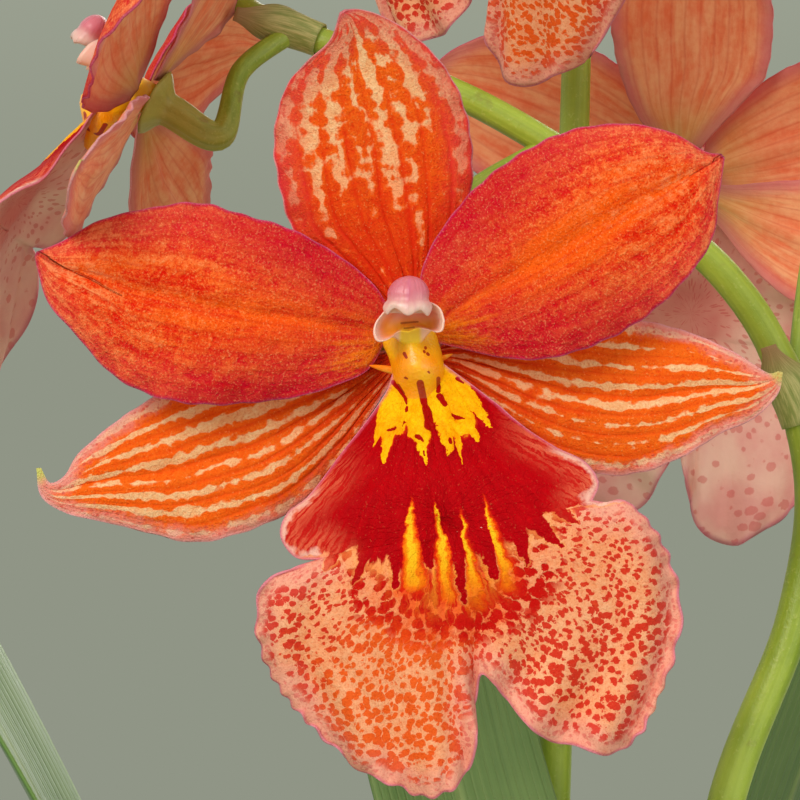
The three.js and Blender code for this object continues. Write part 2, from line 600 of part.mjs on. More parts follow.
function addSpike(name, spike) {
  const stem = smoothCurve(spike.route.map(point));
  const radiusAt = (u) => lerp(spike.radius[0], spike.radius[1], u ** 2);
  const pieces = [stalk(stem, radiusAt, spike.steps, SPIKE_SIDES)];
  for (const share of spike.bracts) pieces.push(bract(stem, share, radiusAt(share)));
  for (const { from, bloom, bud, size } of spike.stalks) {
    if (bud) {
      const end = point(bud);
      const back = stem.getPointAt(from).sub(end).normalize();
      const seat = end.clone().addScaledVector(back, size + GAP);
      pieces.push(stalk(stalkCurve(stem, from, seat, back), () => 0.8, 4, 5));
      addBud(`bud_${orchid.userData.buds++}`, end, back, size);
    } else {
      const { at, face, scale } = BLOOMS[bloom];
      const back = point(face).normalize().negate();
      const end = point(at).addScaledVector(back, STALK.back * scale);
      const swell = (u) => lerp(STALK.radius, STALK.ovary * scale, smoothstep(u, 0.35, 0.95));
      pieces.push(stalk(stalkCurve(stem, from, end, back), swell, STALK.steps, STALK.sides));
    }
  }
  addPiece(orchid, name, "stem", fused(pieces));
}

// Bud: a pointed ovoid on its stalk.
function addBud(name, centre, back, size) {
  const across = back.clone().cross(point([0.2, 0.1, 1])).normalize();
  const up = across.clone().cross(back);
  const levels = [[-1, 0.3], [-0.75, 0.5], [-0.2, 0.62], [0.45, 0.55], [1, 0.3], [1.35, 0.08]];
  const rings = levels.map(([along, share]) => {
    const radius = share * size;
    return circle(centre.clone().addScaledVector(back, -along * size), across, up, radius, radius, 8);
  });
  addPiece(orchid, name, "bud", loft(rings));
}

// A straight hole in the mix round the foot of a flower spike.
function spikeHole(spike) {
  const [x, y, z] = spike.route[0];
  const rim = (height) => circle(point([x, y, height]), point([1, 0, 0]), point([0, 1, 0]),
    spike.radius[0] + 3 * GAP, spike.radius[0] + 3 * GAP, SPIKE_SIDES);
  return loft([rim(z - GAP), rim(MIX.top + 4 * MIX.heave)]);
}

addPiece(orchid, "pot", "pot", new THREE.LatheGeometry(potProfile(), POT.sides).rotateX(Math.PI / 2));
addPiece(orchid, "potting_mix", "mix", cutBy(pottingMix(), [
  ...BULBS.map(bulbHole),
  ...Object.values(SPIKES).map(spikeHole),
  ...LEAVES.filter((leaf) => leaf.place === "basal").map((leaf) => leafBlade(leaf, 1.5 * GAP)),
]));
BULBS.forEach((bulb, i) => addPiece(orchid, `pseudobulb_${i + 1}`, "bulb", loft(bulbRings(bulb, 0))));
LEAVES.forEach((leaf, i) => addPiece(orchid, `leaf_${i + 1}`, "leaf", leafBlade(leaf, 0)));
BLOOMS.forEach((bloom, i) => addBloom(bloom, i === 0));
orchid.userData.buds = 1;
for (const [name, spike] of Object.entries(SPIKES)) addSpike(name, spike);

export default orchid;
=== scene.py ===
# Potted cambria orchid, seen close at its nearest bloom. Metres, +Z up, in the frame of the CAD.
import math
import random

import bmesh
import bpy
import numpy as np
from mathutils import Matrix, Vector


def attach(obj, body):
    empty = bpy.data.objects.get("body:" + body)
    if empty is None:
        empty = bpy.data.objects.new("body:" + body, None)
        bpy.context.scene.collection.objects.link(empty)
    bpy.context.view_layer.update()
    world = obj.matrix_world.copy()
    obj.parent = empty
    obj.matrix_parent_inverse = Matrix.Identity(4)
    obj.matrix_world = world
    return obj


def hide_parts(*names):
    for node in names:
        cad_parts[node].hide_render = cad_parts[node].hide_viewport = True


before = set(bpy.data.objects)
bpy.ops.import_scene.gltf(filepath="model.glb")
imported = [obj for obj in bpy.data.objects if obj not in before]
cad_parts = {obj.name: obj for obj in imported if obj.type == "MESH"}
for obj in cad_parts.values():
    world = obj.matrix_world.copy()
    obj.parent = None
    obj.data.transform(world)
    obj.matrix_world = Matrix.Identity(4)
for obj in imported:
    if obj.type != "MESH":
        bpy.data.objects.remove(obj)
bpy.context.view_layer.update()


# Studio: a wide pale floor, a plain surround and soft lamps. The camera looks level at the
# nearest bloom from 420 mm in front of it, through a long lens.
MM = 0.001
BACKDROP = (178, 184, 166)
DAYLIGHT = (200, 201, 199)
HORIZON = (144, 149, 134)
FLOOR = {"radius": 3.3, "drop": 0.2 * MM}
CAMERA = {"at": (-11.05 * MM, -468 * MM, 393.18 * MM), "lens": 180, "sensor": 36, "near": 0.02}
AIM = (0, 0, 0.36)


def linear(colour):
    """A colour of three numbers up to 255 as the renderer's own."""
    shares = [c / 255 for c in colour]
    return tuple(c / 12.92 if c <= 0.04045 else ((c + 0.055) / 1.055) ** 2.4 for c in shares) + (1,)


class Socket:
    """A socket in a material or world. Arithmetic on it adds Math nodes."""

    def __init__(self, tree, link):
        self.tree, self.link = tree, link

    def node(self, kind, settings=(), values=(), output=0):
        """The output of a new node, made with its settings and its sockets' values or links."""
        made = self.tree.nodes.new(kind)
        for name, setting in dict(settings).items():
            setattr(made, name, setting)
        for name, value in dict(values).items():
            if isinstance(value, Socket):
                self.tree.links.new(value.link, made.inputs[name])
            else:
                made.inputs[name].default_value = value
        return Socket(self.tree, made.outputs[output])

    def maths(self, operation, *numbers):
        return self.node("ShaderNodeMath", {"operation": operation}, enumerate(numbers))

    def __add__(self, other): return self.maths("ADD", self, other)
    def __sub__(self, other): return self.maths("SUBTRACT", self, other)
    def __rsub__(self, other): return self.maths("SUBTRACT", other, self)
    def __mul__(self, other): return self.maths("MULTIPLY", self, other)
    def __truediv__(self, other): return self.maths("DIVIDE", self, other)
    def __pow__(self, other): return self.maths("POWER", self, other)
    def __abs__(self): return self.maths("ABSOLUTE", self)
    __radd__, __rmul__ = __add__, __mul__

    def high(self, other): return self.maths("MAXIMUM", self, other)
    def low(self, other): return self.maths("MINIMUM", self, other)

    def smooth(self, start, end):
        """0 before start and 1 after end, or the other way round."""
        return self.node("ShaderNodeMapRange", {"interpolation_type": "SMOOTHSTEP"},
                         {"Value": self, "From Min": start, "From Max": end})

    def level(self, strength):
        """A noise as a swing about nought."""
        return (self - 0.5) * strength

    def bump(self, centre, width):
        """1 at centre, falling softly to 0 at width from it."""
        return abs(self - centre).smooth(width, 0)

    def tint(self, first, second, blend="MIX"):
        """A colour between two, or their blend, with this socket as the share."""
        ends = [c if isinstance(c, Socket) else linear(c) for c in (first, second)]
        return self.node("ShaderNodeMix", {"data_type": "RGBA", "blend_type": blend},
                         {0: self, 6: ends[0], 7: ends[1]}, 2)

    def triple(self, *numbers):
        return self.node("ShaderNodeCombineXYZ", (), enumerate(numbers))

    def vector(self, operation, *vectors, output=0):
        return self.node("ShaderNodeVectorMath", {"operation": operation}, enumerate(vectors), output)

    def parts(self):
        return [self.node("ShaderNodeSeparateXYZ", (), {0: self}, i) for i in range(3)]

    def noise(self, scale, detail=2.0, roughness=0.5, distortion=0.0):
        return self.node("ShaderNodeTexNoise", (), {"Vector": self, "Scale": scale, "Detail": detail,
                                                    "Roughness": roughness, "Distortion": distortion})

    def cells(self, scale, output=0):
        return self.node("ShaderNodeTexVoronoi", (), {"Vector": self, "Scale": scale}, output)

    def zigzag(self):
        """0 at whole numbers and 0.5 halfway between them."""
        return self.maths("PINGPONG", self, 0.5)


def material(name, viewport, **constants):
    """A new material, with its own constants on the shader's sockets."""
    made = bpy.data.materials.new(name)
    made.use_nodes = True
    made.diffuse_color = linear(viewport)
    shader = made.node_tree.nodes["Principled BSDF"]
    for key, value in constants.items():
        shader.inputs[key.replace("_", " ")].default_value = value
    return made, Socket(made.node_tree, None)


def dress(made, colour, roughness, height=None, distance=0.0):
    """Links a material's colour and roughness, and its relief in mm."""
    tree = made.node_tree
    shader = tree.nodes["Principled BSDF"]
    tree.links.new(colour.link, shader.inputs["Base Color"])
    if isinstance(roughness, Socket):
        tree.links.new(roughness.link, shader.inputs["Roughness"])
    else:
        shader.inputs["Roughness"].default_value = roughness
    if height:
        relief = height.node("ShaderNodeBump", (), {"Distance": distance * MM, "Height": height})
        tree.links.new(relief.link, shader.inputs["Normal"])


def where(start, output=3):
    """Object coordinates, or the Generated ones as output 0."""
    return start.node("ShaderNodeTexCoord", (), (), output)


def shares(start):
    """The shares along and across a piece, from its own map."""
    across, along, _ = start.node("ShaderNodeUVMap", {"uv_map": "shares"}).parts()
    return along, across


def rim_mm(start):
    """How far a point of a thin blade lies from its rim, in mm."""
    return start.node("ShaderNodeAttribute", {"attribute_name": "rim"}, (), 2)


def from_work(name, work):
    """A smooth object from a bmesh, at the origin."""
    mesh = bpy.data.meshes.new(name)
    work.to_mesh(mesh)
    work.free()
    mesh.shade_smooth()
    made = bpy.data.objects.new(name, mesh)
    bpy.context.scene.collection.objects.link(made)
    return made


def carry(piece, slot, materials, *nodes):
    """Gives a piece its materials, its body and the CAD nodes that it stands for, which it hides. The slot
    is not used.
    """
    for made in materials:
        piece.data.materials.append(made)
    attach(piece, "root")
    if nodes:
        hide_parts(*nodes)


work = bmesh.new()
bmesh.ops.create_circle(work, cap_ends=True, segments=128, radius=FLOOR["radius"],
                        matrix=Matrix.Translation((0, 0, -FLOOR["drop"])))
floor = from_work("studio_floor", work)
floor_paint, start = material("pale_floor", BACKDROP)
dress(floor_paint, where(start).noise(6, 3).tint(BACKDROP, (186, 190, 174)), 0.8)
floor.data.materials.append(floor_paint)

world = bpy.data.worlds.new("studio")
bpy.context.scene.world = world
world.use_nodes = True
start = Socket(world.node_tree, None)
seen = start.node("ShaderNodeLightPath")
above = where(start, 0).parts()[2].smooth(0, 0.3)
surround = seen.tint(DAYLIGHT, above.tint(HORIZON, BACKDROP))
sky = world.node_tree.nodes["Background"]
world.node_tree.links.new(surround.link, sky.inputs["Color"])

LAMPS = {
    "key_lamp": {"at": (-0.75, -1.5, 1.35), "size": 1.1, "power": 25.5, "colour": (255, 250, 242)},
    "fill_lamp": {"at": (1.3, -1.3, 0.55), "size": 1.2, "power": 6, "colour": (246, 250, 255)},
    "back_lamp": {"at": (0.5, 1.6, 1.2), "size": 1.2, "power": 18, "colour": (255, 253, 246)},
}
for name, lamp in LAMPS.items():
    light = bpy.data.lights.new(name, "AREA")
    light.shape, light.size, light.energy = "DISK", lamp["size"], lamp["power"]
    light.color = linear(lamp["colour"])[:3]
    stand = bpy.data.objects.new(name, light)
    stand.location = lamp["at"]
    aim = Vector(AIM) - stand.location
    stand.rotation_euler = aim.to_track_quat("-Z", "Y").to_euler()
    stand.visible_camera = False
    bpy.context.scene.collection.objects.link(stand)

lens = bpy.data.cameras.new("camera")
lens.lens, lens.sensor_width, lens.clip_start = CAMERA["lens"], CAMERA["sensor"], CAMERA["near"]
camera = bpy.data.objects.new("camera", lens)
camera.location = CAMERA["at"]
camera.rotation_euler = (math.pi / 2, 0, 0)
bpy.context.scene.collection.objects.link(camera)
bpy.context.scene.camera = camera
bpy.context.scene.view_settings.view_transform = "Standard"


# Cover pot: slip-cast stoneware without a drain hole, with a rolled mouth. It is glazed cream all
# over, bar its foot ring, which stood on the kiln shelf. Its profile is of radius and height.
POT = [
    (0, 3.2), (38, 3.2), (40, 1.2), (41.5, 0), (45, 0), (47.4, 0.5), (49.2, 1.6), (50.1, 3.2),
    (51.8, 15), (55.8, 45), (60, 76), (64.0, 106), (64.6, 108.6), (65.6, 110), (66.7, 111.4),
    (67.4, 113), (67.5, 114.6), (67.1, 116.2), (66.1, 117.5), (64.8, 118), (63.2, 117.9),
    (61.8, 117.1), (61.0, 115.5), (60.6, 112), (46.9, 10), (45.8, 7.8), (43.6, 7), (0, 7),
]
work = bmesh.new()
corners = [work.verts.new((r * MM, 0, z * MM)) for r, z in POT]
section = [work.edges.new(pair) for pair in zip(corners, corners[1:])]
bmesh.ops.subdivide_edges(work, edges=section, cuts=2)
bmesh.ops.spin(work, geom=work.verts[:] + work.edges[:], cent=(0, 0, 0), axis=(0, 0, 1),
               steps=128, angle=math.tau, use_merge=True)
bmesh.ops.remove_doubles(work, verts=work.verts, dist=1e-6)
bmesh.ops.recalc_face_normals(work, faces=work.faces)
pot = from_work("cover_pot", work)
glaze, start = material("cream_glaze", (231, 224, 210), Coat_Weight=0.6, Coat_Roughness=0.08)
place = where(start)
height = place.parts()[2]
cloud = place.noise(38, 5, 0.6)
speck = place.cells(620).smooth(0.16, 0.1) * place.noise(90).smooth(0.52, 0.62)
foot = height.smooth(2.6 * MM, 1.8 * MM)
worn = height.bump(117.5 * MM, 1.6 * MM) * place.noise(240, 4).smooth(0.42, 0.62)
body = cloud.smooth(0.35, 0.7).tint((236, 230, 217), (230, 222, 206))
body = (speck * 0.7).tint(body, (150, 124, 92))
body = (worn * 0.5).tint(body, (205, 186, 156))
body = foot.tint(body, (186, 160, 128))
dress(glaze, body, foot * 0.6 + cloud * 0.1 + 0.16, cloud + speck * -0.2, 0.25)
carry(pot, "glazed_pot", [glaze], "pot")


# Potting mix: graded pine bark in flat chips, tipped loosely over a fill of the same bark that
# reaches down to the pot's floor.
MIX = {"top": 104, "radius": 58, "chips": 260, "bed": 99, "bed_radius": 59.4, "floor": 8,
       "floor_radius": 45.5}


def bark_height(x, y):
    return MIX["top"] + 1.6 * math.sin(x / 11 + 1) * math.cos(y / 13)


draw = random.Random(11)
work = bmesh.new()
for level, radius in ((MIX["bed"], MIX["bed_radius"]), (MIX["floor"], MIX["floor_radius"])):
    bmesh.ops.create_circle(work, cap_ends=True, segments=64, radius=radius * MM,
                            matrix=Matrix.Translation((0, 0, level * MM)))
bmesh.ops.bridge_loops(work, edges=[edge for edge in work.edges if edge.is_boundary])
bmesh.ops.recalc_face_normals(work, faces=work.faces)
for count in range(MIX["chips"]):
    spread = MIX["radius"] * math.sqrt(draw.uniform(0, 1)) - 4
    turn = draw.uniform(0, math.tau)
    x, y = spread * math.cos(turn), spread * math.sin(turn)
    size = (draw.uniform(5, 9), draw.uniform(3.6, 6.5), draw.uniform(1.5, 3.2))
    lift = draw.uniform(-3.5, 1.4)
    chip = bmesh.ops.create_cube(work, size=1)["verts"]
    for vertex in chip:
        vertex.co += Vector([draw.uniform(-0.16, 0.16) for _ in range(3)])
    edges = {e for vertex in chip for e in vertex.link_edges}
    worn = bmesh.ops.bevel(work, geom=list(edges), offset=0.12, segments=2, profile=0.6,
                           affect="EDGES", material=-1)
    verts = {v for face in worn["faces"] for v in face.verts} | {v for v in chip if v.is_valid}
    lean = Matrix.Rotation(draw.uniform(0, math.tau), 4, "Z") @ Matrix.Rotation(
        draw.uniform(-0.5, 0.5), 4, "X") @ Matrix.Rotation(draw.uniform(-0.4, 0.4), 4, "Y")
    put = Matrix.Translation(Vector((x, y, bark_height(x, y) + lift)) * MM) @ lean
    shape = Matrix.Diagonal((*[side * 2 * MM for side in size], 1))
    bmesh.ops.transform(work, matrix=put @ shape, verts=list(verts))
bark = from_work("bark_mix", work)
bark_paint, start = material("pine_bark", (112, 76, 50))
place = where(start)
plates = place.noise(170, 6, 0.65, 0.6)
chips = place.cells(95, output=1).parts()[0]
layers = (place.parts()[2] * 900 + plates * 5).maths("SINE", place.parts()[2] * 5200 + plates * 9)
tone = chips.smooth(0.1, 0.95).tint((70, 43, 27), (150, 103, 66))
tone = plates.smooth(0.56, 0.7).tint(tone, (181, 140, 98))
tone = plates.smooth(0.46, 0.34).tint(tone, (38, 24, 16))
dress(bark_paint, tone, 0.88, plates * 0.8 + layers * 0.1, 0.7)
carry(bark, "bark_mix", [bark_paint], "potting_mix")


# Pseudobulbs: four flattened, ribbed bulbs side by side, green, with the dry remains of the
# sheaths round their feet. Each stands in the bark and bears two leaves.
BULB = {"width": 17, "thickness": 9.5, "bottom": 94}
BULBS = [dict(zip(("x", "y", "height", "turn"), row)) for row in (
    (-33, -3, 72, 165), (-8, -24, 78, 20), (30, 0, 74, -12), (-2, 26, 66, 8))]


def smooth(x, start, end):
    share = np.clip((x - start) / (end - start), 0, 1)
    return share * share * (3 - 2 * share)


def bell(x, centre, width):
    return np.exp(-(((x - centre) / width) ** 2))


def waves(a, b, seed):
    """A gentle irregular swell over two coordinates, from -1 to 1."""
    turns = np.random.default_rng(seed).uniform(0.6, 1.7, (4, 2))
    shifts = np.random.default_rng(seed + 1).uniform(0, math.tau, 4)
    return sum(np.sin(p * a + q * b + s) for (p, q), s in zip(turns, shifts)) / 4


def mapped(name, rows, cols, place, closed=False):
    """A grid piece whose points come, in mm, from their shares along and across it. The place
    may give their spots on a plane too, which are handed back with the shares."""
    work = bmesh.new()
    work.loops.layers.uv.new("shares")
    bmesh.ops.create_grid(work, x_segments=cols, y_segments=rows, size=0.5, calc_uvs=True)
    flat = np.array([vertex.co[:] for vertex in work.verts]) + 0.5
    placed = place(flat[:, 1], flat[:, 0])
    points, plane = placed if isinstance(placed, tuple) else (placed, None)
    for vertex, spot in zip(work.verts, points * MM):
        vertex.co = spot
    if closed:
        bmesh.ops.remove_doubles(work, verts=work.verts, dist=1e-6)
        bmesh.ops.dissolve_degenerate(work, edges=work.edges, dist=1e-7)
        bmesh.ops.recalc_face_normals(work, faces=work.faces)
    return from_work(name, work), flat, plane


def bulb_points(bulb):
    turn = math.radians(bulb["turn"])
    along = np.array([math.cos(turn), math.sin(turn), 0])
    across = np.array([-math.sin(turn), math.cos(turn), 0])

    def place(up, turned):
        angle = turned * math.tau
        swell = np.sin(math.pi * (0.22 + 0.71 * up)) ** 0.8
        swell = swell * smooth(up, -1e-9, 1e-9) * smooth(1 - up, -1e-9, 0.02) ** 0.5
        ribs = 1 + 0.02 * np.cos(9 * angle + 1.5 * np.sin(2 * up)) * smooth(up, 0, 0.3)
        ribs += 0.012 * waves(angle * 7, up * 9, 5) * np.sin(math.pi * up)
        wide = BULB["width"] * swell * ribs * np.cos(angle)
        deep = BULB["thickness"] * swell * ribs * np.sin(angle)
        foot = np.array([bulb["x"], bulb["y"], BULB["bottom"]])
        rise = np.stack([up * 0, up * 0, up * bulb["height"]], 1)
        return foot + wide[:, None] * along + deep[:, None] * across + rise
    return place


bulb_paint, start = material("green_bulb", (127, 148, 64), Specular_IOR_Level=0.45)
along, across = shares(start)
place = where(start)
cloud = place.noise(60, 4, 0.6)
fibres = start.triple(across * 90, along * 5, 0).noise(1, 4, 0.6)
specks = place.cells(420).smooth(0.2, 0.1) * cloud.smooth(0.45, 0.6)
tone = cloud.smooth(0.3, 0.7).tint((104, 126, 48), (146, 160, 72))
tone = (fibres.smooth(0.5, 0.75) * 0.5).tint(tone, (171, 176, 96))
tone = (specks * 0.6).tint(tone, (110, 78, 42))
tone = (along.smooth(0.88, 1) * 0.8).tint(tone, (176, 162, 104))
tone = (along.smooth(0.22, 0.05) * 0.8).tint(tone, (132, 110, 58))
dress(bulb_paint, tone, cloud * 0.2 + 0.38, fibres + cloud * 0.5, 0.35)

husk_paint, start = material("dry_husk", (181, 156, 112))
along, across = shares(start)
fibres = start.triple(across * 60, along * 3, 0).noise(1, 5, 0.65)
tone = fibres.smooth(0.3, 0.7).tint((132, 100, 62), (205, 183, 138))
tone = along.smooth(0.45, 1).tint(tone, (150, 118, 78))
tone = (where(start).noise(160, 4).smooth(0.55, 0.7) * 0.6).tint(tone, (96, 68, 42))
dress(husk_paint, tone, 0.75, fibres, 0.3)


def husk_points(bulb, side):
    """A dry sheath that wraps one side of a bulb's foot and ends in a torn point."""
    bulb_place = bulb_points(bulb)

    def place(up, wrap):
        turned = side + 0.46 * (wrap - 0.5)
        torn = waves(wrap * 31, wrap * 53, bulb["height"]) * 0.09 + waves(wrap * 90, wrap * 130, 7) * 0.035
        reach = 0.34 * (1 - 0.9 * np.abs(2 * wrap - 1) ** 1.6) + torn
        spot = bulb_place(0.07 + up * reach, turned)
        middle = np.array([bulb["x"], bulb["y"], 0])
        out = (spot - middle) * [1, 1, 0]
        out /= np.linalg.norm(out, axis=1, keepdims=True)
        return spot + out * (0.5 + 2.6 * up ** 3 + 0.25 * waves(wrap * 20, up * 8, 3))[:, None]
    return place


for number, bulb in enumerate(BULBS, 1):
    body, _, _ = mapped(f"bulb_{number}_body", 40, 48, bulb_points(bulb), closed=True)
    carry(body, "pseudobulb", [bulb_paint], f"pseudobulb_{number}")
    for side in (0.25, 0.75):
        husk, _, _ = mapped(f"bulb_{number}_husk_{round(side * 4)}", 20, 64, husk_points(bulb, side))
        wall = husk.modifiers.new("wall", "SOLIDIFY")
        wall.thickness, wall.offset = 0.3 * MM, 1
        carry(husk, "pseudobulb", [husk_paint])


# Leaves: long straps folded along the midrib, two from the top of each bulb and one from its
# foot, glossy green above and paler below.
LEAF = {"thickness": 0.9, "rows": 10, "fold": 0.42, "top_neck": 0.3, "basal_neck": 0.62,
        "taper": 0.9994, "sink": 5, "top_step": 3, "basal_step": 1.2, "basal_foot": 99}
LEAF_KEYS = ("bulb", "top", "aim", "tilt", "length", "width", "sway", "twist")
LEAVES = [dict(zip(LEAF_KEYS, row)) for row in (
    (0, True, 172, (9, 84), 330, 29, 24, 20),
    (0, False, 165, (24, 112), 265, 26, 10, 10),
    (1, True, 200, (14, 96), 310, 30, 40, -14),
    (1, True, 20, (2, 18), 118, 21, -16, 0),
    (1, False, 200, (30, 118), 240, 25, 24, 12),
    (2, True, 348, (12, 92), 335, 31, -10, 16),
    (2, True, 168, (2, 66), 275, 27, -145, 0),
    (2, False, 348, (34, 122), 235, 25, -22, 0),
    (3, True, 8, (6, 48), 310, 27, 66, -12),
    (3, True, 188, (8, 60), 320, 29, -72, 18),
    (3, False, 188, (20, 104), 230, 24, -62, 0),
)]


def through(points, power=0.0, steps=40):
    """A smooth curve through points, read by its shares of length. Power 0.25 evens its speed."""
    knots = np.array(points, float)
    knots = np.vstack([2 * knots[0] - knots[1], knots, 2 * knots[-1] - knots[-2]])
    p0, p1, p2, p3 = knots[:-3], knots[1:-2], knots[2:-1], knots[3:]
    gap = [np.sum((b - a) ** 2, 1, keepdims=True) ** power for a, b in ((p0, p1), (p1, p2), (p2, p3))]
    start = ((p1 - p0) / gap[0] - (p2 - p0) / (gap[0] + gap[1]) + (p2 - p1) / gap[1]) * gap[1]
    end = ((p2 - p1) / gap[1] - (p3 - p1) / (gap[1] + gap[2]) + (p3 - p2) / gap[2]) * gap[1]
    t = np.linspace(0, 1, steps, endpoint=False)[:, None, None]
    cubic = p1 + start * t + (3 * (p2 - p1) - 2 * start - end) * t ** 2 + (
        2 * (p1 - p2) + start + end) * t ** 3
    line = np.vstack([cubic.transpose(1, 0, 2).reshape(-1, knots.shape[1]), knots[-2]])
    length = np.r_[0, np.cumsum(np.linalg.norm(np.diff(line, axis=0), axis=1))]

    def at(share):
        reach = np.asarray(share) * length[-1]
        return np.stack([np.interp(reach, length, axis) for axis in line.T], -1)
    return at


def blade(name, rows, cols, place, thickness, thin=0.4, mirrored=False):
    """A thin blade with its plane map, its distance from the rim, and a rim that thins out."""
    made, flat, plane = mapped(name, rows, cols, place)
    mesh = made.data
    if mirrored:
        mesh.flip_normals()
    rim = (flat[:, 1] > 1 - 1e-6) | (flat[:, 0] < 1e-6) | (flat[:, 0] > 1 - 1e-6)
    edge = plane[rim]
    away = np.sqrt(((plane[:, None, :] - edge[None]) ** 2).sum(2).min(1))
    mesh.attributes.new("rim", "FLOAT", "POINT").data.foreach_set("value", away.astype(np.float32))
    corners = np.empty(len(mesh.loops), np.int32)
    mesh.loops.foreach_get("vertex_index", corners)
    layer = mesh.uv_layers.new(name="plane")
    layer.data.foreach_set("uv", (plane[corners, :2] * 0.01 + 0.5).astype(np.float32).ravel())
    body = made.vertex_groups.new(name="body")
    levels = np.round(6 * (thin + (1 - thin) * smooth(away, 0, 2.2))).astype(int)
    for level in np.unique(levels):
        body.add(np.nonzero(levels == level)[0].tolist(), level / 6, "REPLACE")
    wall = made.modifiers.new("wall", "SOLIDIFY")
    wall.thickness, wall.offset, wall.material_offset = thickness * MM, 0, 1
    wall.vertex_group, wall.thickness_vertex_group = "body", 0.0
    wall.use_quality_normals = True
    return made


def leaf_points(leaf):
    bulb = BULBS[leaf["bulb"]]
    aim = math.radians(leaf["aim"])
    turn = math.radians(leaf["aim"] - bulb["turn"])
    beside = 1 / math.hypot(math.cos(turn) / BULB["width"], math.sin(turn) / BULB["thickness"])
    reach = LEAF["top_step"] if leaf["top"] else beside + LEAF["basal_step"]
    foot = BULB["bottom"] + bulb["height"] + 0.6 if leaf["top"] else LEAF["basal_foot"]
    centre = np.array([bulb["x"] + reach * math.cos(aim), bulb["y"] + reach * math.sin(aim), foot])

    def course(t):
        """Which way the leaf grows, its level side and the way that its upper face looks."""
        tilt = np.radians(leaf["tilt"][0] + (leaf["tilt"][1] - leaf["tilt"][0]) * t ** 1.5)
        aim = np.radians(leaf["aim"] + leaf["sway"] * t * t)
        twist = np.radians(leaf["twist"] * t)[:, None]
        level = np.stack([-np.sin(aim), np.cos(aim), 0 * t], 1)
        facing = np.stack([-np.cos(tilt) * np.cos(aim), -np.cos(tilt) * np.sin(aim), np.sin(tilt)], 1)
        ahead = np.stack([np.sin(tilt) * np.cos(aim), np.sin(tilt) * np.sin(aim), np.cos(tilt)], 1)
        return (ahead, level * np.cos(twist) + facing * np.sin(twist),
                facing * np.cos(twist) - level * np.sin(twist))

    steps = np.arange(LEAF["rows"]) / LEAF["rows"]
    step = leaf["length"] / LEAF["rows"]
    spine = through(np.vstack([centre, centre + np.cumsum(course(steps)[0] * step, 0)]))
    sink = LEAF["sink"] if leaf["top"] else 0
    neck = LEAF["top_neck" if leaf["top"] else "basal_neck"]

    def place(t, v):
        across = 2 * v - 1
        _, side, facing = course(t)
        width = leaf["width"] * (neck + (1 - neck) * smooth(t, 0, 0.4))
        width = width * np.sqrt(1 - LEAF["taper"] * t ** 3.2)
        fold = width / 2 * LEAF["fold"] * (1 - 0.5 * smooth(t, 0, 0.5))
        rise = fold * (np.sqrt(across ** 2 + 0.012) - 0.11)
        swell = waves(t * 16, across * 1.5, leaf["length"]) * np.abs(across) * smooth(t, 0.1, 0.4)
        rise = rise + 0.5 * swell
        spot = spine(t) + side * (across * width / 2)[:, None] + facing * rise[:, None]
        spot[:, 2] -= sink * smooth(t, 0.025, 0)
        return spot, np.stack([across * width / 2, t * leaf["length"]], 1)
    return place


def leaf_paint(name, light, dark, vein, gloss):
    made, start = material(name, light, Coat_Weight=0.15, Coat_Roughness=0.25)
    along, across = shares(start)
    place = where(start)
    cloud = place.noise(28, 4, 0.6)
    lines = start.triple(across * 34, along * 1.3, 0).noise(1, 3, 0.6)
    ribs = (across * 22).zigzag().smooth(0.2, 0.0)
    midrib = across.bump(0.5, 0.045)
    edge = rim_mm(start)
    tone = (cloud * 0.6 + lines * 0.5).smooth(0.35, 0.75).tint(dark, light)
    tone = (ribs * 0.18).tint(tone, vein)
    tone = (midrib * 0.7).tint(tone, vein)
    tone = (edge.smooth(0.8, 0.1) * 0.45).tint(tone, vein)
    tone = (along.smooth(0.12, 0) * 0.75).tint(tone, (188, 186, 118))
    tone = (along.smooth(0.965, 1) * 0.8).tint(tone, (140, 104, 58))
    blotch = place.noise(120, 3).smooth(0.68, 0.74) * 0.35
    tone = blotch.tint(tone, (120, 110, 52))
    relief = lines * 0.7 - ribs * 0.5 - midrib * 1.5 + place.noise(700, 2) * 0.3
    dress(made, tone, cloud * 0.15 + gloss, relief, 0.16)
    return made


upper = leaf_paint("leaf_upper", (76, 116, 44), (46, 84, 28), (112, 146, 66), 0.34)
under = leaf_paint("leaf_under", (114, 144, 76), (86, 120, 56), (140, 164, 92), 0.5)
for number, leaf in enumerate(LEAVES, 1):
    strap = blade(f"leaf_{number}_blade", 72, 16, leaf_points(leaf), LEAF["thickness"])
    carry(strap, "leaf", [upper, under], f"leaf_{number}")


# Blooms: where each sits, the way it faces, its roll, its handedness, how far its tepals bend back
# and its size. The first is the near one; the others are its sisters on the two spikes.
BLOOMS = [dict(zip(("at", "face", "roll", "mirror", "bend", "scale"), row)) for row in (
    ((-10, -48, 400), (0, -1, 0), 0, 1, 0, 1),
    ((-40, -27, 427), (-0.83, 0.12, 0.45), -6, 1, 0.35, 0.95),
    ((66, -4, 424), (0.86, -0.45, -0.2), -6, -1, 0.2, 0.97),
    ((26, 46, 422), (0.25, 0.96, 0.05), -8, 1, 0.2, 1),
    ((5, 6, 476), (-0.6, -0.76, -0.22), -6, -1, 0.3, 0.95),
    ((42, 24, 500), (0.75, -0.6, -0.15), 6, -1, 0.2, 0.9),
)]


# Rows and columns of a bloom's pieces: the near bloom's, then the others'.
GRIDS = {"tepal": ((110, 72), (44, 28)), "lip": ((190, 170), (72, 64)), "callus": ((32, 40), (14, 18)),
         "column": ((96, 80), (36, 28)), "cap": ((48, 80), (18, 28))}


def titled(number, name):
    """A bloom piece's name: only the near bloom's pieces go without their bloom's number."""
    return name if number == 1 else f"bloom_{number}_{name}"


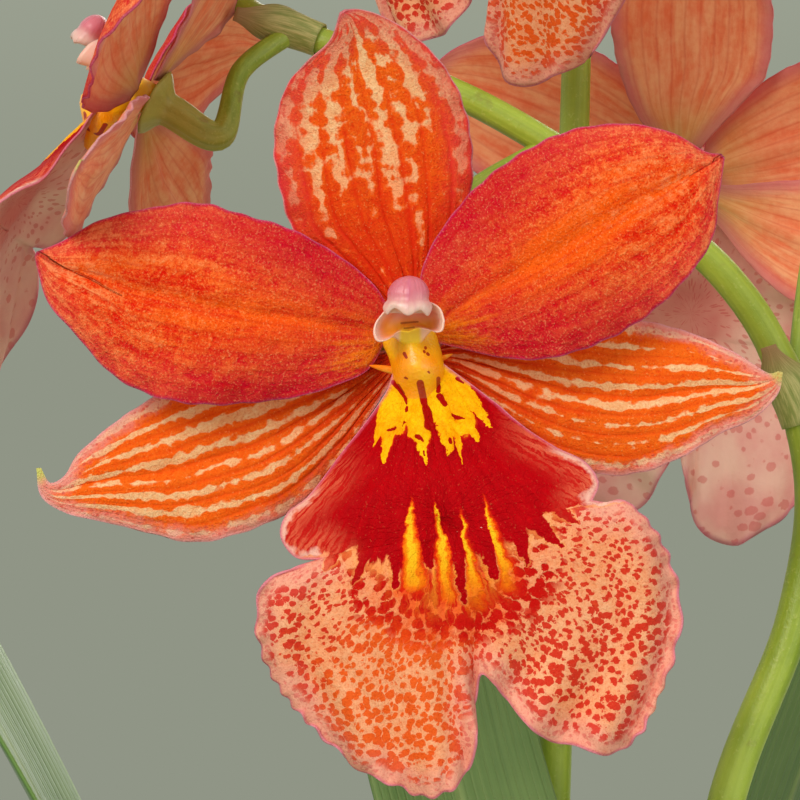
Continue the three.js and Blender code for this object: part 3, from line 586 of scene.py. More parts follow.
def seat(bloom):
    """The bloom's own axes, in mm: x to the viewer's right, y up and z towards the viewer."""
    front = Vector(bloom["face"]).normalized()
    right = Vector((0, 0, 1)).cross(front).normalized()
    turn = Matrix((right, front.cross(right), front)).transposed().to_4x4()
    size = bloom["scale"]
    return (Matrix.Translation(bloom["at"]) @ turn @ Matrix.Rotation(math.radians(bloom["roll"]), 4, "Z")
            @ Matrix.Diagonal((size * bloom["mirror"], size, size, 1)))


def seated(bloom, local):
    matrix = np.array(seat(bloom))
    return local @ matrix[:3, :3].T + matrix[:3, 3]


# Tepals: three sepals and two petals round the column, fleshy and thin at the rim. The orange
# and red lie along the veins, so the cream ground shows between them as broken streaks.
TEPAL = {"thickness": 0.7, "rim": 0.35, "waves": 2.5, "reflex": 14}
TEPALS = {
    "dorsal_sepal": {
        "left": [(-1.7, 2.5), (-4, 4.5), (-9.7, 8.7), (-12.4, 11.2), (-14, 16.8), (-14.3, 21.3),
                 (-13.1, 25.9), (-10.8, 28.6), (-8.4, 30.7), (-7.3, 33.5)],
        "right": [(1.7, 2.5), (3.1, 4.7), (5.5, 10), (6.6, 16.5), (6.2, 22.4), (4.5, 26.9),
                  (1.6, 30.4), (-2, 32.9), (-5, 33.9), (-6.8, 33.8)],
        "base": -1.45, "bow": -0.6, "tip": 5, "cup": -1.2, "groove": 0.4, "wave": 0.3,
    },
    "petal_left": {
        "left": [(-2.8, -0.9), (-4.2, -3.4), (-6.3, -4.7), (-11, -6.3), (-15.8, -7), (-21.5, -7.3),
                 (-26.8, -6.4), (-31.3, -4), (-34.9, 0), (-37.8, 3.3), (-38.9, 6.6), (-39.3, 8.2)],
        "right": [(-2.2, 1.9), (-3.1, 4.3), (-5, 6.4), (-8.4, 8.9), (-12.6, 11.1), (-17.3, 12.5),
                  (-22.1, 13.8), (-27.3, 13.2), (-32.5, 11.9), (-36.5, 9.7), (-39.1, 8.7)],
        "base": -0.15, "bow": 3.4, "tip": 1.2, "cup": -1.6, "groove": 0.7, "wave": 0.6,
    },
    "petal_right": {
        "left": [(1.9, 2.1), (1.1, 5.8), (2.7, 10.1), (6.7, 15.2), (11.5, 18.9), (16.8, 21.4),
                 (22.6, 22.1), (27.5, 21.1), (30.9, 19.2), (32.6, 19)],
        "right": [(2.8, -0.8), (5, -1.3), (9.4, -2.3), (14.2, -2.5), (19.9, -0.8), (25.2, 2.3),
                  (29.4, 6.5), (31.7, 10.3), (32.3, 14.2), (33, 18.6)],
        "base": -0.15, "bow": 3.2, "tip": 0.6, "cup": -1.7, "groove": 0.6, "wave": 0.6,
    },
    "sepal_left": {
        "left": [(-0.8, -3.2), (-3.1, -6.8), (-7.3, -13.3), (-12.1, -18.2), (-17.3, -20.7),
                 (-22.6, -21.9), (-27.3, -21), (-31.5, -19.9), (-36.2, -18.8), (-38.9, -17),
                 (-39.4, -14)],
        "right": [(-2.3, -1.5), (-6.3, -2.2), (-12.6, -2.6), (-18.9, -3.5), (-24.1, -5.1),
                  (-28.3, -7.2), (-32, -9.8), (-35.1, -12.6), (-36.5, -14.9), (-38, -15.6),
                  (-38.9, -14)],
        "base": -1.45, "bow": -1.6, "tip": -0.4, "cup": -0.9, "groove": 0.5, "wave": 0.4,
    },
    "sepal_right": {
        "left": [(2.4, -1.3), (6.3, 0.9), (12.6, 2), (18.9, 2.3), (24.1, 1.7), (29.4, 0.4),
                 (34.1, -1.7), (37.6, -3.9), (38.8, -3.8)],
        "right": [(0.8, -3.1), (4.2, -5.2), (9.4, -9.4), (14.7, -13.1), (19.4, -14.6),
                  (24.1, -14.6), (28.9, -12.8), (32.8, -10.4), (36.4, -8.7), (38.8, -6.2),
                  (39.3, -3.9)],
        "base": -1.45, "bow": -1.6, "tip": -0.2, "cup": -0.9, "groove": 0.5, "wave": 0.4,
    },
}
SHEEN = 0.035
# Scale, detail and roughness of the flesh's grain, blots, patches and clouds. The grain also places the
# painted glints.
FLESH_NOISES = [(4300, 2, 0.7), (1300, 3, 0.65), (440, 3, 0.6), (120, 2, 0.5)]


def tepal_points(shape, bloom):
    left, right = through(shape["left"]), through(shape["right"])

    def place(u, v):
        across = 2 * v - 1
        middle = np.sin(math.pi * u)
        ripple = np.sin(math.tau * TEPAL["waves"] * u + 3 * v) * across ** 2
        depth = (shape["base"] + shape["bow"] * middle + shape["tip"] * u ** 2
                 + shape["cup"] * across ** 2 * middle + shape["wave"] * ripple * middle
                 - shape["groove"] * bell(across, 0, 0.12) * np.sqrt(np.abs(middle))
                 - TEPAL["reflex"] * bloom["bend"] * u ** 2)
        rim = smooth(np.abs(across), 0.8, 1) * middle
        depth = depth + 0.22 * rim * np.sin(u * 61 + 2 * v) + 0.1 * waves(u * 40, v * 22, 8) * middle
        flat = left(u) + (right(u) - left(u)) * v[:, None]
        nick = 0.004 * rim * np.sign(across) * np.sin(u * 83 + across)
        flat = flat + (right(u) - left(u)) * nick[:, None]
        local = np.column_stack([flat, depth])
        return seated(bloom, local), local
    return place


def fleshy(name, viewport):
    return material(name, viewport, Specular_IOR_Level=SHEEN)


def flat_mm(start):
    """Where a point lies on its bloom's plane, in mm."""
    plane = start.node("ShaderNodeUVMap", {"uv_map": "plane"})
    return plane.vector("MULTIPLY_ADD", plane, (100, 100, 0), (-50, -50, 0))


def from_strokes(spot, strokes):
    """How far a point lies from the nearest of some strokes, in half widths of that stroke.
    A stroke has a start, an end and its half width at each, in mm."""
    nearest = None
    for first, last, wide, narrow in strokes:
        run = np.subtract(last, first)
        step = run / (run @ run)
        base = float(step @ first)
        along = spot.vector("DOT_PRODUCT", spot, (*step, 0), output=1)
        share = along.node("ShaderNodeMapRange", (),
                           {"Value": along, "From Min": base, "From Max": base + 1})
        foot = share.vector("MULTIPLY_ADD", share, (*run, 0), (*first, 0))
        half = share.maths("MULTIPLY_ADD", share, narrow - wide, wide)
        off = spot.vector("DISTANCE", spot, foot, output=1) / half
        nearest = off if nearest is None else nearest.low(off)
    return nearest


def flesh_noise(start):
    """The noises of a tepal's flesh, from the finest to the broadest."""
    place = where(start)
    return [place.noise(*fineness) for fineness in FLESH_NOISES]


def edged(tone, rim, grain, flush, edge_highlight):
    """A thin coloured line along the rim, and a pale line at the very edge that is a painted highlight."""
    tone = ((rim + grain.level(0.3)).smooth(0.5, 0.12) * 0.6).tint(tone, flush)
    # Painted highlight: the very edge is paled, as light catching the rim.
    return ((rim + grain.level(0.1)).smooth(0.2, 0.05) * 0.7).tint(tone, edge_highlight)


def petal_paint(name, look):
    """A red petal: orange along its middle, crimson towards its edges, its veins a little darker."""
    made, start = fleshy(name, (228, 62, 22))
    along, across = shares(start)
    rim = rim_mm(start)
    grain, blots, patches, cloud = flesh_noise(start)
    strokes = start.triple(across * 16, along * 4, look["seed"]).noise(1, 3, 0.65)
    threads = start.triple(across * 46, along * 2.4, look["seed"]).noise(1, 2, 0.6)
    broad = start.triple(across * 5, along * 2.2, look["seed"]).noise(1, 2, 0.5)
    mottle = (blots.level(2.6) + patches.level(1.5) + strokes.level(2.2) + grain.level(1.6)
              + broad.level(0.9))
    tone = mottle.smooth(-0.95, 0.9).tint((220, 22, 4), (245, 112, 42))
    middle = across.bump(look["middle"], 0.42)
    warm = (middle * 0.7 + broad.level(1.2) + strokes.level(1.4) - 0.35).smooth(0, 0.6)
    tone = (warm * 0.85).tint(tone, (243, 90, 8))
    bright = (strokes.level(3) + threads.level(1.1) + blots.level(1.4) + middle * 0.8
              + along.bump(0.72, 0.4) * 0.9 + along.smooth(0.7, 1) * 0.7 - look["bright"])
    orange = along.smooth(0.5, 0.85).tint((250, 132, 24), (240, 158, 100))
    tone = (bright.smooth(0, 0.8) * 0.7).tint(tone, orange)
    sides = look["sides"]
    reach = along.bump(0.3, 0.55)
    width = (reach * sides[0] + sides[1]) * (1 - across) + (reach * sides[2] + sides[3]) * across
    edge = ((rim + patches.level(2.6) + blots.level(1.5) + broad.level(1.6)) / width).smooth(1.05, 0.05)
    crimson = along.smooth(0.4, 0.8).tint((190, 2, 42), (216, 72, 78))
    tone = (edge * (reach * 0.45 + 0.36)).tint(tone, crimson)
    peach = blots.level(2.6) + strokes.level(2) + patches.level(1.2) + along.smooth(0.2, 0.95) * 0.9 - 0.55
    tone = (peach.smooth(0, 1) * 0.5).tint(tone, (246, 140, 92))
    warped = (across + cloud.level(0.06)) * 11 + strokes.level(0.7)
    vein = 1 - warped.zigzag() * 2
    net = (threads + strokes * 0.35).smooth(0.56, 0.42)
    vein = (vein + blots.level(0.5)).smooth(0.6, 1.1).high(net * 0.6)
    tone = (vein * 0.4).tint(tone, (190, 8, 6))
    foot = strokes.level(2.2) + broad.level(1.2) + blots.level(0.9) + along.smooth(0.34, 0.0) * 1.3 - 0.7
    tone = (foot.smooth(-0.25, 0.75) * across.bump(look["foot"], 0.6) * 0.8).tint(tone, (250, 132, 12))
    flat = flat_mm(start)
    drift = flat.triple(blots.level(0.3), patches.level(0.5), 0)
    crease = from_strokes(flat.vector("ADD", flat, drift), [look["crease"]]).smooth(1, 0.4)
    # Painted shade: the crease at the tip is darkened, as the shade in its fold.
    tone = (crease * 0.4).tint(tone, (150, 30, 16))
    tone = edged(tone, rim, blots, (186, 24, 78), (206, 96, 128))
    tone = (grain.smooth(0.47, 0.3) * 0.35).tint(tone, (190, 14, 8))
    # Painted glints: pale specks screened over the colour, standing in for light sparkling on the petal's
    # cells.
    tone = (grain.smooth(0.54, 0.72) * 0.28).tint(tone, (255, 178, 120), "SCREEN")
    relief = grain * 1.1 + blots * 1.4 + patches * 1.2 + strokes * 1.2 - crease * 3
    dress(made, tone, 0.6, relief, 0.17)
    return made


def sepal_paint(name, look):
    """A sepal: its pigment spreads from the veins in rounded spots, with cream left between them."""
    made, start = fleshy(name, look["ground"])
    along, across = shares(start)
    rim = rim_mm(start)
    grain, blots, patches, cloud = flesh_noise(start)
    place = where(start)
    drift = place.triple(blots.level(0.0006), patches.level(0.001), 0)
    lobes = place.vector("ADD", place, drift).cells(look["lobes"])
    strokes = start.triple(across * 8, along * look["long"], look["seed"]).noise(1, 3, 0.6)
    warped = (across + cloud.level(0.05)) * look["veins"] + strokes.level(0.6)
    vein = 1 - warped.zigzag() * 2
    bare = along.smooth(*look["from"]) * along.smooth(*look["to"])
    cover = (vein * look["gap"] + strokes.level(look["stroke"]) + patches.level(look["patch"])
             + blots.level(0.5) + look["cover"] - lobes * look["round"] - bare * look["amount"])
    mottle = blots.level(1.5) + patches.level(1.2) + strokes.level(1.2) + grain.level(1.2)
    tone = mottle.smooth(-0.7, 0.8).tint(look["ground"], look["glow"])
    deep = (along + blots.level(0.2) + patches.level(0.25)).smooth(look["deep_to"], 0.02)
    tone = (deep * 0.85).tint(tone, look["deep"])
    tone = (cover.smooth(0.42, 0.05) * 0.5).tint(tone, look["glow"])
    pale = mottle.smooth(-0.6, 0.7).tint((238, 176, 118), (246, 212, 162))
    pale = (deep * 0.8).tint(pale, (240, 134, 92))
    tone = (cover.smooth(0.15, -0.13) * look["bare"]).tint(tone, pale)
    thread = (vein + grain.level(0.3) + blots.level(0.4)).smooth(0.62, 1.05)
    thread = thread * along.smooth(*look["thread_to"])
    tone = (thread * look["thread"]).tint(tone, look["vein"])
    edge = ((rim + patches.level(2) + blots.level(1.8)) / look["flush_width"]).smooth(1.05, 0.05)
    tone = (edge * along.smooth(0.2, 0.5) * look["flush_share"]).tint(tone, look["flush"])
    freckle = place.cells(1500).smooth(0.34, 0.2) * rim.smooth(2.4, 1.2) * rim.smooth(0.2, 0.5)
    tone = (freckle * along.smooth(0.4, 0.6) * 0.6).tint(tone, (206, 70, 60))
    tone = edged(tone, rim, blots, look["flush"], (224, 160, 164))
    tone = ((along + grain.level(0.02)).smooth(0.955, 0.99) * look["tip_share"]).tint(tone, look["tip"])
    tone = (grain.smooth(0.47, 0.3) * 0.32).tint(tone, look["deep"])
    # Painted glints: pale specks screened over the colour, standing in for light sparkling on the sepal's
    # cells.
    tone = (grain.smooth(0.6, 0.74) * 0.26).tint(tone, (255, 190, 120), "SCREEN")
    relief = grain * 1.2 + blots * 1.2 + patches * 1.0 - thread * 0.8
    dress(made, tone, 0.6, relief, 0.17)
    return made


# Each petal's looks: the seed of its streaks, where its orange lies, how scarce the brightest
# streaks are, the crimson's width along both edges, and the crease at its tip, which gets painted shade.
PETALS = {
    "petal_left": {"seed": 5.1, "middle": 0.45, "bright": 1.75, "foot": 0.2, "sides": (5.5, 2.6, 7.5, 4.6),
                   "crease": ((-39.2, 8.6), (-30, 3.9), 0.34, 0.05)},
    "petal_right": {"seed": 8.3, "middle": 0.5, "bright": 1.8, "foot": 0.75, "sides": (7.5, 3.6, 8.5, 2.4),
                    "crease": ((32.8, 18.9), (29.2, 16.4), 0.22, 0.06)},
}
# Each sepal's looks: its colours, the pigment's cover and how its veins and spots shape it, where
# the cream lies bare, and the flush along its rim and at its tip.
BLUSH = {"glow": (243, 108, 24), "vein": (204, 22, 4), "deep": (206, 34, 10), "veins": 8}
LATERAL = {**BLUSH, "long": 2.6, "lobes": 900, "gap": 1.1, "stroke": 2.2, "round": 0.8, "amount": 0.5,
           "from": (-0.1, 0.25), "to": (1.1, 0.95), "bare": 0.88, "thread": 0.4, "thread_to": (1.1, 0.2),
           "flush": (228, 156, 148), "flush_share": 0.7}
SEPALS = {
    "dorsal_sepal": {
        **BLUSH, "ground": (226, 58, 12), "long": 3, "seed": 2.4, "lobes": 760, "gap": 0.5,
        "stroke": 2.2, "patch": 1.5, "cover": 0.86, "round": 0.9, "amount": 0.72, "from": (0.15, 0.85),
        "to": (1.1, 0.98), "bare": 0.92, "deep_to": 0.85, "thread": 0.55, "thread_to": (0.85, 0.3),
        "flush": (208, 52, 66), "flush_width": 4.4, "flush_share": 0.62,
        "tip": (200, 80, 96), "tip_share": 0.4,
    },
    "sepal_left": {**LATERAL, "ground": (236, 84, 12), "seed": 3.7, "patch": 0.9, "cover": 0.62,
                   "deep_to": 0.5, "flush_width": 2.0, "tip": (198, 196, 104), "tip_share": 1.0},
    "sepal_right": {**LATERAL, "ground": (234, 82, 14), "seed": 6.2, "patch": 1.0, "cover": 0.64,
                    "deep_to": 0.55, "flush_width": 1.9, "tip": (204, 192, 104), "tip_share": 0.9},
}
tepal_paints = {name: petal_paint(f"{name}_flesh", look) for name, look in PETALS.items()}
tepal_paints |= {name: sepal_paint(f"{name}_flesh", look) for name, look in SEPALS.items()}

back_paint, start = fleshy("tepal_back", (226, 140, 110))
along, across = shares(start)
rim = rim_mm(start)
place = where(start)
strokes = start.triple(across * 12, along * 5, 0).noise(1, 4, 0.6)
blots = place.noise(800, 3, 0.6)
tone = (strokes + blots * 0.4).smooth(0.45, 0.95).tint((236, 120, 78), (244, 172, 124))
tone = ((across * 11).zigzag().smooth(0.16, 0) * 0.3).tint(tone, (214, 80, 56))
tone = (along.smooth(0.3, 0) * 0.6).tint(tone, (206, 176, 96))
tone = (rim.smooth(2.6, 0.2) * 0.7).tint(tone, (202, 112, 122))
dress(back_paint, tone, 0.5, blots + strokes, 0.12)

for number, bloom in enumerate(BLOOMS, 1):
    near = number == 1
    for name, shape in TEPALS.items():
        rows, cols = GRIDS["tepal"][not near]
        title = f"{name}_blade" if near else titled(number, name)
        tepal = blade(title, rows, cols, tepal_points(shape, bloom), TEPAL["thickness"], TEPAL["rim"],
                      bloom["mirror"] < 0)
        carry(tepal, "petal" if name in PETALS else "sepal", [tepal_paints[name], back_paint],
              name if near else titled(number, "tepals"))


# Lip: one broad petal with two shoulders, a waist and a split, ruffled blade. It is crimson
# round the yellow callus, with yellow flames, and the blade is peach with red spots in rows.
LIP = {
    "right_shoulder": [(2.7, -2.4), (5, -4.2), (8.9, -7.1), (12.1, -9.8), (15.2, -11.8),
                       (18.2, -13.3), (19.6, -15.4), (18.9, -17.3)],
    "right_lobe": [(18.9, -17.3), (20.4, -17.5), (22.3, -17.3), (25, -19.8), (27.1, -23.4),
                   (28.3, -28.3), (27.7, -33.1), (25.4, -38.9)],
    "left_shoulder": [(-1.5, -2.4), (-2.7, -6.4), (-7.3, -12.6), (-10.5, -16.8), (-12.8, -18.7),
                      (-13.5, -21), (-11.9, -23.2), (-9.4, -23.4)],
    "left_lobe": [(-9.4, -23.4), (-12.6, -24.4), (-15.1, -25.7), (-16.1, -29.1), (-15.3, -33.6),
                  (-13.1, -37.5), (-10.3, -40.9), (-7.6, -43.4)],
    "rim": [(25.4, -38.9), (24.1, -41.5), (21.5, -43.7), (17.3, -43), (13.1, -41.5), (10, -38),
            (7.7, -35.3), (6.8, -38.3), (6.9, -43), (5, -46.8), (1.6, -48.2), (-1.9, -46.9),
            (-5.2, -45.5), (-7.6, -43.4)],
    "thickness": 0.7, "base": 1.7, "isthmus": 7, "drop": 2.6, "shoulder_tuck": 4.2,
    "lobe_tuck": 2.8, "ripple": 0.9, "ripples": 7, "groove": 0.8, "crease_at": 0.55,
}
# Strokes on the lip: each has its start, its end and its half width at both. The ridges of the
# callus are raised as well as painted.
RIDGES = [((-1.6, -4.8), (-2.6, -13.2), 1.8, 0.1), ((0.8, -4.5), (1.0, -9.2), 1.6, 0.9),
          ((0.9, -8.6), (1.85, -13.4), 1.1, 0.05), ((2.6, -4.5), (4.1, -12.4), 1.6, 0.1),
          ((3.4, -4.6), (7.0, -11.1), 1.6, 0.1), ((3.9, -3.4), (8.4, -9.8), 1.3, 0.06)]


def ridge_height(x, y):
    """How far the callus ridges stand over the lip."""
    top = np.zeros_like(x)
    for first, last, wide, narrow in RIDGES:
        run = np.array(last) - first
        share = np.clip(((x - first[0]) * run[0] + (y - first[1]) * run[1]) / (run @ run), 0, 1)
        off = np.hypot(x - first[0] - share * run[0], y - first[1] - share * run[1])
        width = wide + (narrow - wide) * share
        top = np.maximum(top, (1.0 - 0.8 * share) * np.exp(-((off / (width + 0.3)) ** 2)))
    return top


def lip_points(bloom, fine):
    sides = {name: through(LIP[name]) for name in
             ("right_shoulder", "right_lobe", "left_shoulder", "left_lobe", "rim")}
    corners = sides["rim"](0.0), sides["rim"](1.0)

    def place(u, v):
        half = (u < 0.5)[:, None]
        share = np.where(u < 0.5, 2 * u, 2 * u - 1)
        right = np.where(half, sides["right_shoulder"](share), sides["right_lobe"](share))
        left = np.where(half, sides["left_shoulder"](share), sides["left_lobe"](share))
        flat = right + (left - right) * v[:, None]
        chord = corners[0] + (corners[1] - corners[0]) * v[:, None]
        pull = np.where(u < 0.5, 0, np.abs(share) ** 1.3)[:, None]
        flat = flat + (sides["rim"](v) - chord) * pull
        across = 2 * v - 1
        rise = LIP["base"] + (LIP["isthmus"] - LIP["base"]) * smooth(u, 0, 0.45)
        drop = LIP["drop"] * smooth(u, 0.6, 1)
        shoulder = LIP["shoulder_tuck"] * bell(u, 0.36, 0.16) * across ** 2
        lobe = LIP["lobe_tuck"] * smooth(u, 0.5, 0.8) * across ** 2
        side = smooth(u, 0.5, 0.7) * smooth(np.abs(across), 0.6, 1)
        rim = np.maximum(smooth(u, 0.7, 1), side)
        ripple = LIP["ripple"] * rim * np.sin(math.tau * LIP["ripples"] * (v + 0.35 * (1 - u)))
        groove = LIP["groove"] * bell(v, LIP["crease_at"], 0.06) * smooth(u, 0.25, 0.45)
        depth = rise - drop - shoulder - lobe + ripple - groove
        x, y = flat.T
        depth = depth + ridge_height(x, y)
        if fine:
            edge = np.maximum(smooth(u, 0.93, 1), side * smooth(np.abs(across), 0.9, 1))
            turn = np.arctan2(x - 4, -(y + 24))
            flutter = np.sin(turn * 37 + 2 * np.sin(turn * 9)) + 0.6 * np.sin(turn * 71)
            depth = depth + 0.26 * edge * flutter
            out = np.column_stack([x - 4, y + 24])
            out = out / np.linalg.norm(out, axis=1, keepdims=True)
            flat = flat + out * (0.2 * edge * np.sin(turn * 53 + 3 * np.sin(turn * 7)))[:, None]
            fan = np.arctan2(x - 0.8, -(y + 5))
            depth = depth + 0.07 * np.sin(fan * 46) * smooth(u, 0.1, 0.25) * smooth(u, 0.62, 0.45)
            depth = depth + 0.16 * waves(x * 1.1, y * 1.1, 4) * smooth(u, 0.45, 0.7)
        local = np.column_stack([flat, depth])
        return seated(bloom, local), local
    return place


def spots(turn, reach, count, pitch, size, ragged):
    """Spots in rows that fan out from a point. They run together where their size nears 0.7."""
    fan = turn.triple(turn * count, reach * (1 / pitch), 0.5)
    shade = fan.cells(1, output=1).parts()[0]
    return (size + shade * 0.2 - fan.cells(1) + ragged).smooth(0, 0.1)


def polar(x, y, centre):
    """The angle from straight down, and the distance, about a point."""
    right, down = x - centre[0], (y - centre[1]) * -1
    return right.maths("ARCTAN2", right, down), (right ** 2 + down ** 2) ** 0.5


# Crimson fingers, and the flames between them: start, end and the half width at each.
FINGERS = [((-4.6, -19), (-8.9, -24.6), 1.6, 0.12), ((-3, -19), (-5.8, -25.9), 1.5, 0.12),
           ((12.6, -19), (15.8, -22.2), 1.2, 0.12), ((13.8, -16.6), (17.3, -19.6), 1.2, 0.12),
           ((10.4, -17.4), (12.2, -23.6), 1.3, 0.12)]
TONGUES = [((-1.6, -14.5), (-1.6, -26.0), 1.7, 0.3), ((1.2, -12), (1.9, -23.9), 1.3, 0.42),
           ((3.2, -13), (5.75, -27.6), 1.2, 0.3), ((5.4, -13), (8.6, -24.7), 1.2, 0.4),
           ((8.2, -13), (11.6, -22.6), 1.5, 0.3)]
FLAMES = [((-0.1, -15.8), (0.3, -25.5), 0.1, 1.1), ((2.8, -17.2), (3.9, -27), 0.1, 0.9),
          ((4.9, -17.6), (7.2, -27.8), 0.1, 0.9), ((6.5, -14.4), (10.2, -25.4), 0.12, 0.9),
          ((5.9, -26), (6.5, -31.4), 0.6, 0.1)]
CALLUS_FILL = [((-0.7, -4.5), (-1.3, -9.6), 2.4, 0.9), ((1.2, -4.5), (0.9, -10.2), 2.2, 1.0),
               ((2.8, -3.6), (5.4, -9.4), 1.5, 1.2), ((-2.6, -4.4), (-2.8, -6.4), 0.9, 0.7),
               ((-2.0, -7), (-3.8, -11.8), 1.1, 0.06), ((4.4, -9.0), (5.3, -13.6), 0.7, 0.04)]
CALLUS_MARKS = [((-1.68, -5.0), (-0.9, -5.9), 0.3, 0.32), ((-0.9, -5.9), (-0.32, -7.2), 0.32, 0.22),
                ((1.05, -5.1), (1.5, -7.2), 0.42, 0.4), ((1.5, -7.2), (2.1, -9.6), 0.4, 0.66),
                ((3.35, -3.0), (2.95, -4.6), 0.27, 0.24), ((2.95, -4.6), (2.95, -6.0), 0.24, 0.2),
                ((3.05, -6.5), (3.55, -7.4), 0.3, 0.24), ((-0.22, -7.8), (-0.18, -8.05), 0.24, 0.22),
                ((-2.4, -4.4), (-2.35, -4.9), 0.26, 0.2), ((4.9, -4.6), (5.5, -5.1), 0.22, 0.1),
                ((-3.3, -6.2), (-3.1, -6.6), 0.14, 0.12), ((-2.2, -10.1), (-1.6, -9.8), 0.1, 0.16),
                ((-0.8, -9.6), (-0.4, -9.2), 0.1, 0.16), ((0.9, -10.6), (1.3, -11.2), 0.2, 0.1),
                ((4.0, -11), (4.1, -11.4), 0.18, 0.14), ((4.4, -8.5), (5.6, -8.9), 0.3, 0.05),
                ((1.5, -12.2), (1.6, -12.6), 0.1, 0.1)]

lip_paint, start = fleshy("lip_flesh", (232, 116, 63))
rim = rim_mm(start)
grain, blots, patches, cloud = flesh_noise(start)
flat = flat_mm(start)
drift = flat.triple(patches.level(1.4) + blots.level(0.7), cloud.level(1.6) + blots.level(0.7), 0)
loose = flat.vector("ADD", flat, drift)
x, y, _ = loose.parts()
turn, reach = polar(x, y, (0.8, -5))
threads = turn.triple(turn * 44, reach * 0.2, 0).noise(1, 3, 0.6)
fan, spread = polar(x, y, (3.6, -19))
mottle = blots.level(1.4) + patches.level(1.2) + grain.level(1.3)
# The blade: peach, pinker outwards, with spots that shrink from the middle to the rim.
tone = (mottle + cloud.level(1)).smooth(-0.7, 0.8).tint((238, 142, 92), (243, 178, 134))
outer = (rim + patches.level(2.5)).smooth(4.4, 0.8)
tone = (outer * 0.6).tint(tone, (232, 160, 148))
glow = (fan.bump(0.1, 1.8) * spread.smooth(17.5, 7) + patches.level(1.3)).smooth(0.1, 0.8)
tone = (glow * 0.9).tint(tone, (236, 84, 20))
lower = fan.bump(-0.25, 0.85) * spread.smooth(8, 14)
ragged = blots.level(0.6) + grain.level(0.3) + cloud.level(0.5)
inner = spots(fan, spread, 12, 1.35, glow * 0.14 + 0.4, ragged) * spread.smooth(15, 12.5)
middling = spots(fan, spread, 27, 0.86, lower * 0.05 + 0.4, ragged)
middling = middling * spread.smooth(10.5, 13) * rim.smooth(0.9, 1.8)
dashes = spots(fan, spread, 42, 0.65, 0.3, ragged) * rim.smooth(3, 1.6) * rim.smooth(0.3, 0.7)
shade = patches.level(1.2) + blots.level(0.8)
tone = (dashes * 0.55).tint(tone, (214, 88, 84))
red = (lower + shade).smooth(0.1, 0.9).tint((208, 38, 20), (232, 88, 18))
tone = (middling * 0.95).tint(tone, (outer * 0.5).tint(red, (216, 84, 74)))
red = (lower * 0.7 + shade).smooth(0.1, 0.9).tint((196, 18, 12), (230, 70, 18))
tone = inner.tint(tone, red)
# The heart: crimson with darker threads, its border drawn out in fingers between yellow flames.
border = (turn.triple(turn * 9, 0.3, 0).noise(1, 2, 0.5).level(3) + 18.8 + threads.level(2.4)
          + abs(turn - 0.12).smooth(0.5, 0.85) * (y - x.smooth(8, 14) * 5.5).smooth(-24, -22.8) * 7)
tongues = from_strokes(loose, TONGUES)
fingers = from_strokes(loose, FINGERS).low(tongues)
inside = (border - reach)
crimson = inside.smooth(-0.3, 0.3).high(fingers.smooth(1.05, 0.85))
halo = inside.smooth(-2.4, -0.3).high(fingers.smooth(2.2, 1.0))
tone = (halo * 0.5).tint(tone, (246, 160, 84))
heart = (threads.level(1.6) + cloud.level(0.8) + patches.level(0.5)).smooth(-0.5, 0.6)
heart = heart.tint((160, 0, 8), (188, 0, 10))
shoulder = (rim + threads.level(6) + patches.level(2)).smooth(5.4, 1.2) * reach.smooth(8, 15)
heart = (shoulder * 0.8).tint(heart, threads.smooth(0.42, 0.6).tint((200, 30, 22), (234, 112, 78)))
hem = (rim + patches.level(4)).smooth(1.3, 0.5) * reach.smooth(14.5, 17)
heart = (hem * 0.8).tint(heart, (242, 196, 176))
tone = crimson.tint(tone, heart)
flame = from_strokes(loose, FLAMES) + tongues.smooth(1.35, 0.95) * 2
fade = (reach + blots.level(5) + threads.level(4)).smooth(26, 18)
rays = threads.smooth(0.42, 0.66) * reach.bump(20.5, 5) * (turn - 0.16).bump(0, 0.42)
tone = (rays * (1 - crimson) * 0.75).tint(tone, (250, 160, 44))
tone = (flame.smooth(2.0, 0.95) * fade).tint(tone, (226, 46, 4))
tone = (flame.smooth(1.15, 0.7) * fade).tint(tone, (248, 128, 10))
tone = (flame.smooth(0.7, 0.35) * fade * reach.smooth(25, 17)).tint(tone, (254, 192, 28))
# The callus: gold, torn into points, with blood-red marks.
tear = flat.triple(patches.level(0.8) + blots.level(0.5), blots.level(1.4), 0)
gilt = from_strokes(flat.vector("ADD", flat, tear), RIDGES + CALLUS_FILL)
gold = (blots * 0.6 + patches * 0.6).smooth(0.4, 0.8).tint((250, 158, 0), (255, 196, 8))
tone = (gilt.smooth(1.35, 0.95) * 0.8).tint(tone, (222, 50, 4))
tone = gilt.smooth(1.1, 0.95).tint(tone, gold)
tear = flat.triple(blots.level(0.3), grain.level(0.2), 0)
marks = from_strokes(flat.vector("ADD", flat, tear), CALLUS_MARKS).smooth(1.05, 0.85)
tone = marks.tint(tone, (168, 8, 4))
tone = edged(tone, rim, blots, (208, 84, 112), (224, 140, 158))
tone = (grain.smooth(0.47, 0.32) * 0.25).tint(tone, (172, 6, 4))
# Painted glints: pale specks screened over the colour, standing in for light sparkling on the lip's cells.
tone = (grain.smooth(0.62, 0.76) * 0.13).tint(tone, (255, 180, 110), "SCREEN")
dress(lip_paint, tone, gilt.smooth(1, 0.9) * -0.15 + 0.52,
      grain * 0.7 + blots * 0.9 + threads * 0.6 - inner * 0.3, 0.15)

lip_back, start = fleshy("lip_back", (228, 160, 150))
flat_x, flat_y, _ = flat_mm(start).parts()
rim = rim_mm(start)
place = where(start)
fan, spread = polar(flat_x, flat_y, (3.4, -17.5))
blots = place.noise(900, 3, 0.6)
tone = place.noise(160, 3).smooth(0.35, 0.7).tint((226, 160, 150), (234, 190, 172))
tone = (spots(fan, spread, 12, 1.6, 0.24, blots.level(0.4)) * 0.5).tint(tone, (206, 84, 84))
tone = (spread.smooth(9, 3) * 0.5).tint(tone, (200, 70, 66))
tone = (rim.smooth(1, 0.1) * 0.7).tint(tone, (204, 104, 126))
dress(lip_back, tone, 0.5, blots, 0.12)

